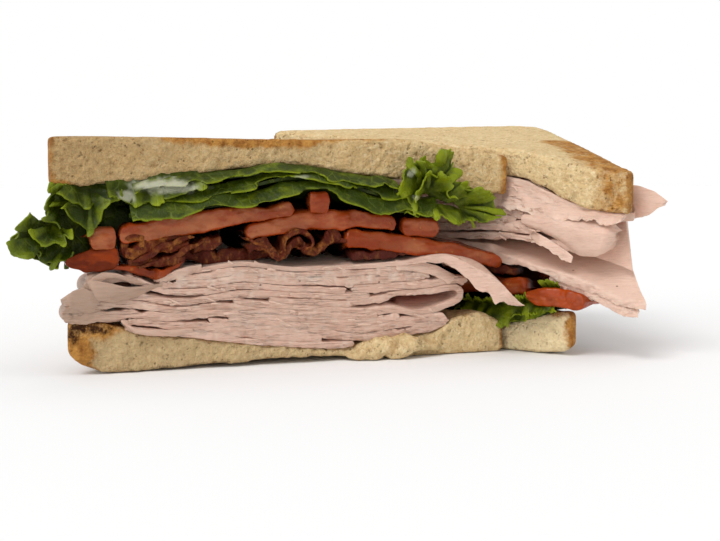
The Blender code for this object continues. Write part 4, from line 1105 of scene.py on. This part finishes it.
def lobes():
    """The lobes of the leaf ends; root and rim are (x, z) points at even shares."""
    cream = ((38, 60, 1.8, 2.0, 0.7), (40, 52, 1.4, 1.2, 0.6))
    for name, seed, root, rim, waves, forward, light in (
            ("front_lettuce_frill_leaf", 75, ((38, 56), (52, 50)),
             ((36, 60.5), (44, 63.5), (56, 58), (62, 53)), 3.6, -3.2, 1.0),
            ("frill_top", 85, ((43, 57), (49, 56)),
             ((40, 60), (44, 64.0), (52.5, 67.5), (55, 65.5), (52, 60)),
             2.4, -4.4, 1.0),
            ("frill_left", 87, ((42, 54), (45, 57)), ((39, 47), (34.6, 52), (33.8, 58), (37, 64), (42, 63)),
             3.0, -5.0, 1.0),
            ("frill_end", 88, ((54, 50), (57, 48)),
             ((56, 56), (63, 54.5), (68.5, 50.5), (70.4, 46.4), (66, 43.4), (58, 43)), 4.2, -4.2, 1.0),
            ("frill_low", 89, ((40, 51), (54, 49)),
             ((36, 47.5), (42, 44.6), (49, 45.6), (55, 43.8), (60, 45)),
             3.0, -4.6, 1.0),
            ("frill_heart", 90, ((43, 53), (48, 54)), ((40, 50), (41, 58), (46, 60.5), (51, 57), (52, 51)),
             3.0, -6.2, 1.0),
            ("left_tip", 91, ((-75, 44), (-74, 39)),
             ((-78, 47.5), (-82.6, 44.5), (-85.2, 40), (-84.4, 36.4), (-79.5, 36.6), (-77, 36)), 1.7, -1.5,
             0.35),
            ("left_high", 92, ((-69, 54), (-71, 48)),
             ((-69, 57.5), (-73.4, 54), (-75.8, 49.8), (-75.2, 46.4), (-71, 43.5)), 1.6, -1.0, 0.45),
            ("left_cup", 93, ((-73, 44.5), (-70, 43.5)),
             ((-80, 43.5), (-78.5, 39.9), (-75, 38.8), (-71, 38.8), (-68, 41), (-67.5, 44)), 2.0, -3.2, 0.7),
            ("left_low", 94, ((-73, 40), (-68, 38)),
             ((-80, 37.4), (-78, 34.2), (-74, 32.6), (-70, 32.8), (-66, 35.5)), 1.8, -0.6, 0.30),
            ("left_heart", 95, ((-65, 54), (-60, 54)),
             ((-70, 50), (-67.5, 44.8), (-64, 42.2), (-60.5, 43.8), (-58.8, 48), (-57.5, 52)), 2.4, -2.6,
             0.45),
            ("left_under", 96, ((-69, 57.5), (-55, 58)),
             ((-72, 54), (-67, 50.5), (-62, 49.6), (-57, 50.6), (-52, 54)), 2.6, -2.0, 0.45)):
        root, rim = (tuple((k / (len(way) - 1), *p) for k, p in enumerate(way)) for way in (root, rim))
        nodes = ("front_lettuce_frill",) if name.startswith("front") else ()
        left = name.startswith("left")
        kind = {"fold": 0.5, "fine": 0.3, "lump": 1.6, "tooth": 0.03} if left else \
            {"fold": 1.2, "fine": 1.0, "lump": 2.0, "tooth": 0.22}
        frill(name, seed, root, rim, (2.5 if left else -1.2, forward), waves, 1.9, light, nodes, bend=1.1,
              size=(180, 22), cream=cream, **kind)


def lettuce():
    for name in ("lower", "middle", "upper"):
        leaf_inside("front_lettuce_" + name)
    leaf_inside("rear_lettuce")
    cream = ((-40, 56.0, 11, 2.6, 0.9), (-52, 53, 3, 2, 0.6), (2, 58.5, 3, 0.8, 0.6))
    hanging_leaf("front_lettuce_lower", 71, line((-51, 5.0), (-20, 4.5), (6, 3.0), (20, 4.5), (48, 5.0)), 5.0,
                 0.30, out=0.8)
    hanging_leaf("front_lettuce_middle", 72, line((-50, 4.0), (0, 3.0), (40, 4.0)), 4.0, 0.30, 0.1,
                 cream=cream)
    hanging_leaf("front_lettuce_upper", 73, line((-50, 2.6), (0, 2.4), (34, 2.6)), 5.0, 0.40, out=0.9,
                 height=1.3, cream=cream)
    frill("front_lettuce_left_leaf", 74,
          ((0, -54, 57.0), (0.35, -58, 51), (0.6, -62, 45), (0.8, -66, 40), (1, -69.5, 34.6)),
          ((0, -73.2, 57.0), (0.12, -74.0, 53.4), (0.2, -72.5, 50.4), (0.32, -76.2, 49.2),
           (0.42, -74.8, 45.8),
           (0.52, -80.0, 45.6), (0.62, -85.0, 40.4), (0.7, -84.8, 36.4), (0.76, -80.8, 36.6),
           (0.84, -79.0, 33.6),
           (0.92, -74.5, 32.4), (1, -70.6, 32.8)), (7.0, 1.0), 4.0, 1.9, 0.45, ("front_lettuce_left",),
          bend=0.5, lump=1.0)
    frill("middle_lobe", 77, ((0, -58, 58.0), (0.5, -46, 59.2), (1, -30, 61.0)),
          ((0, -57.5, 53.0), (0.25, -52, 49.6), (0.5, -45, 50.8), (0.75, -37, 52.0), (1, -28, 56.0)),
          (1.0, -3.0), 3.4, 1.5, 0.60, bend=1.0, size=(160, 22), cream=cream)
    frill("inner_leaf", 84, ((0, -68, 58.0), (0.5, -56, 58.5), (1, -44, 59.5)),
          ((0, -70, 32.0), (0.5, -56, 36.5), (1, -40, 45.0)), (9.0, 6.0), 2.0, 1.2, 0.15, shadow=0.4,
          size=(90, 20))
    lobes()
    frill("rear_lettuce_tip_leaf", 78, ((0, 58.6, 22.2), (1, 65.0, 22.6)),
          ((0, 58.0, 24.4), (0.5, 61.5, 25.0), (1, 65.0, 24.4)), (-2.2, -4.2), 2.0, 0.5, 0.9,
          ("rear_lettuce_tip",), lump=0.35, size=(90, 20))
    frill("rear_curl", 86, ((0, 26, 15.0), (0.5, 42, 13.5), (1, 60, 14.5)),
          ((0, 25, 17.5), (0.3, 36, 17.0), (0.55, 45, 17.8), (0.8, 54, 19.6), (1, 62, 18.4)), (2.5, -2.5),
          8.0, 1.3, 0.9, bend=1.1, size=(230, 20), lump=0.9, tooth=0.5)
    frill("rear_curl_low", 98, ((0, 28, 16.5), (0.5, 44, 16.0), (1, 61, 17.6)),
          ((0, 28, 12.6), (0.25, 36, 10.4), (0.45, 42, 9.0), (0.6, 48, 10.2), (0.8, 56, 13.4), (1, 64, 15.6)),
          (1.0, -4.5), 6.0, 1.5, 1.0, bend=1.2, size=(230, 20), lump=1.1, tooth=0.5, fold=1.1)
    rear_leaf()


TREES = {half: neighbours(half) for half in PLACES}
LOOKS = {"bread": bread_look(), "turkey": turkey_look(), "tomato": tomato_look(), "bacon": bacon_look(),
         "lettuce": lettuce_look()}
stage()
camera()
breads()
turkey()
fillings()
lettuce()
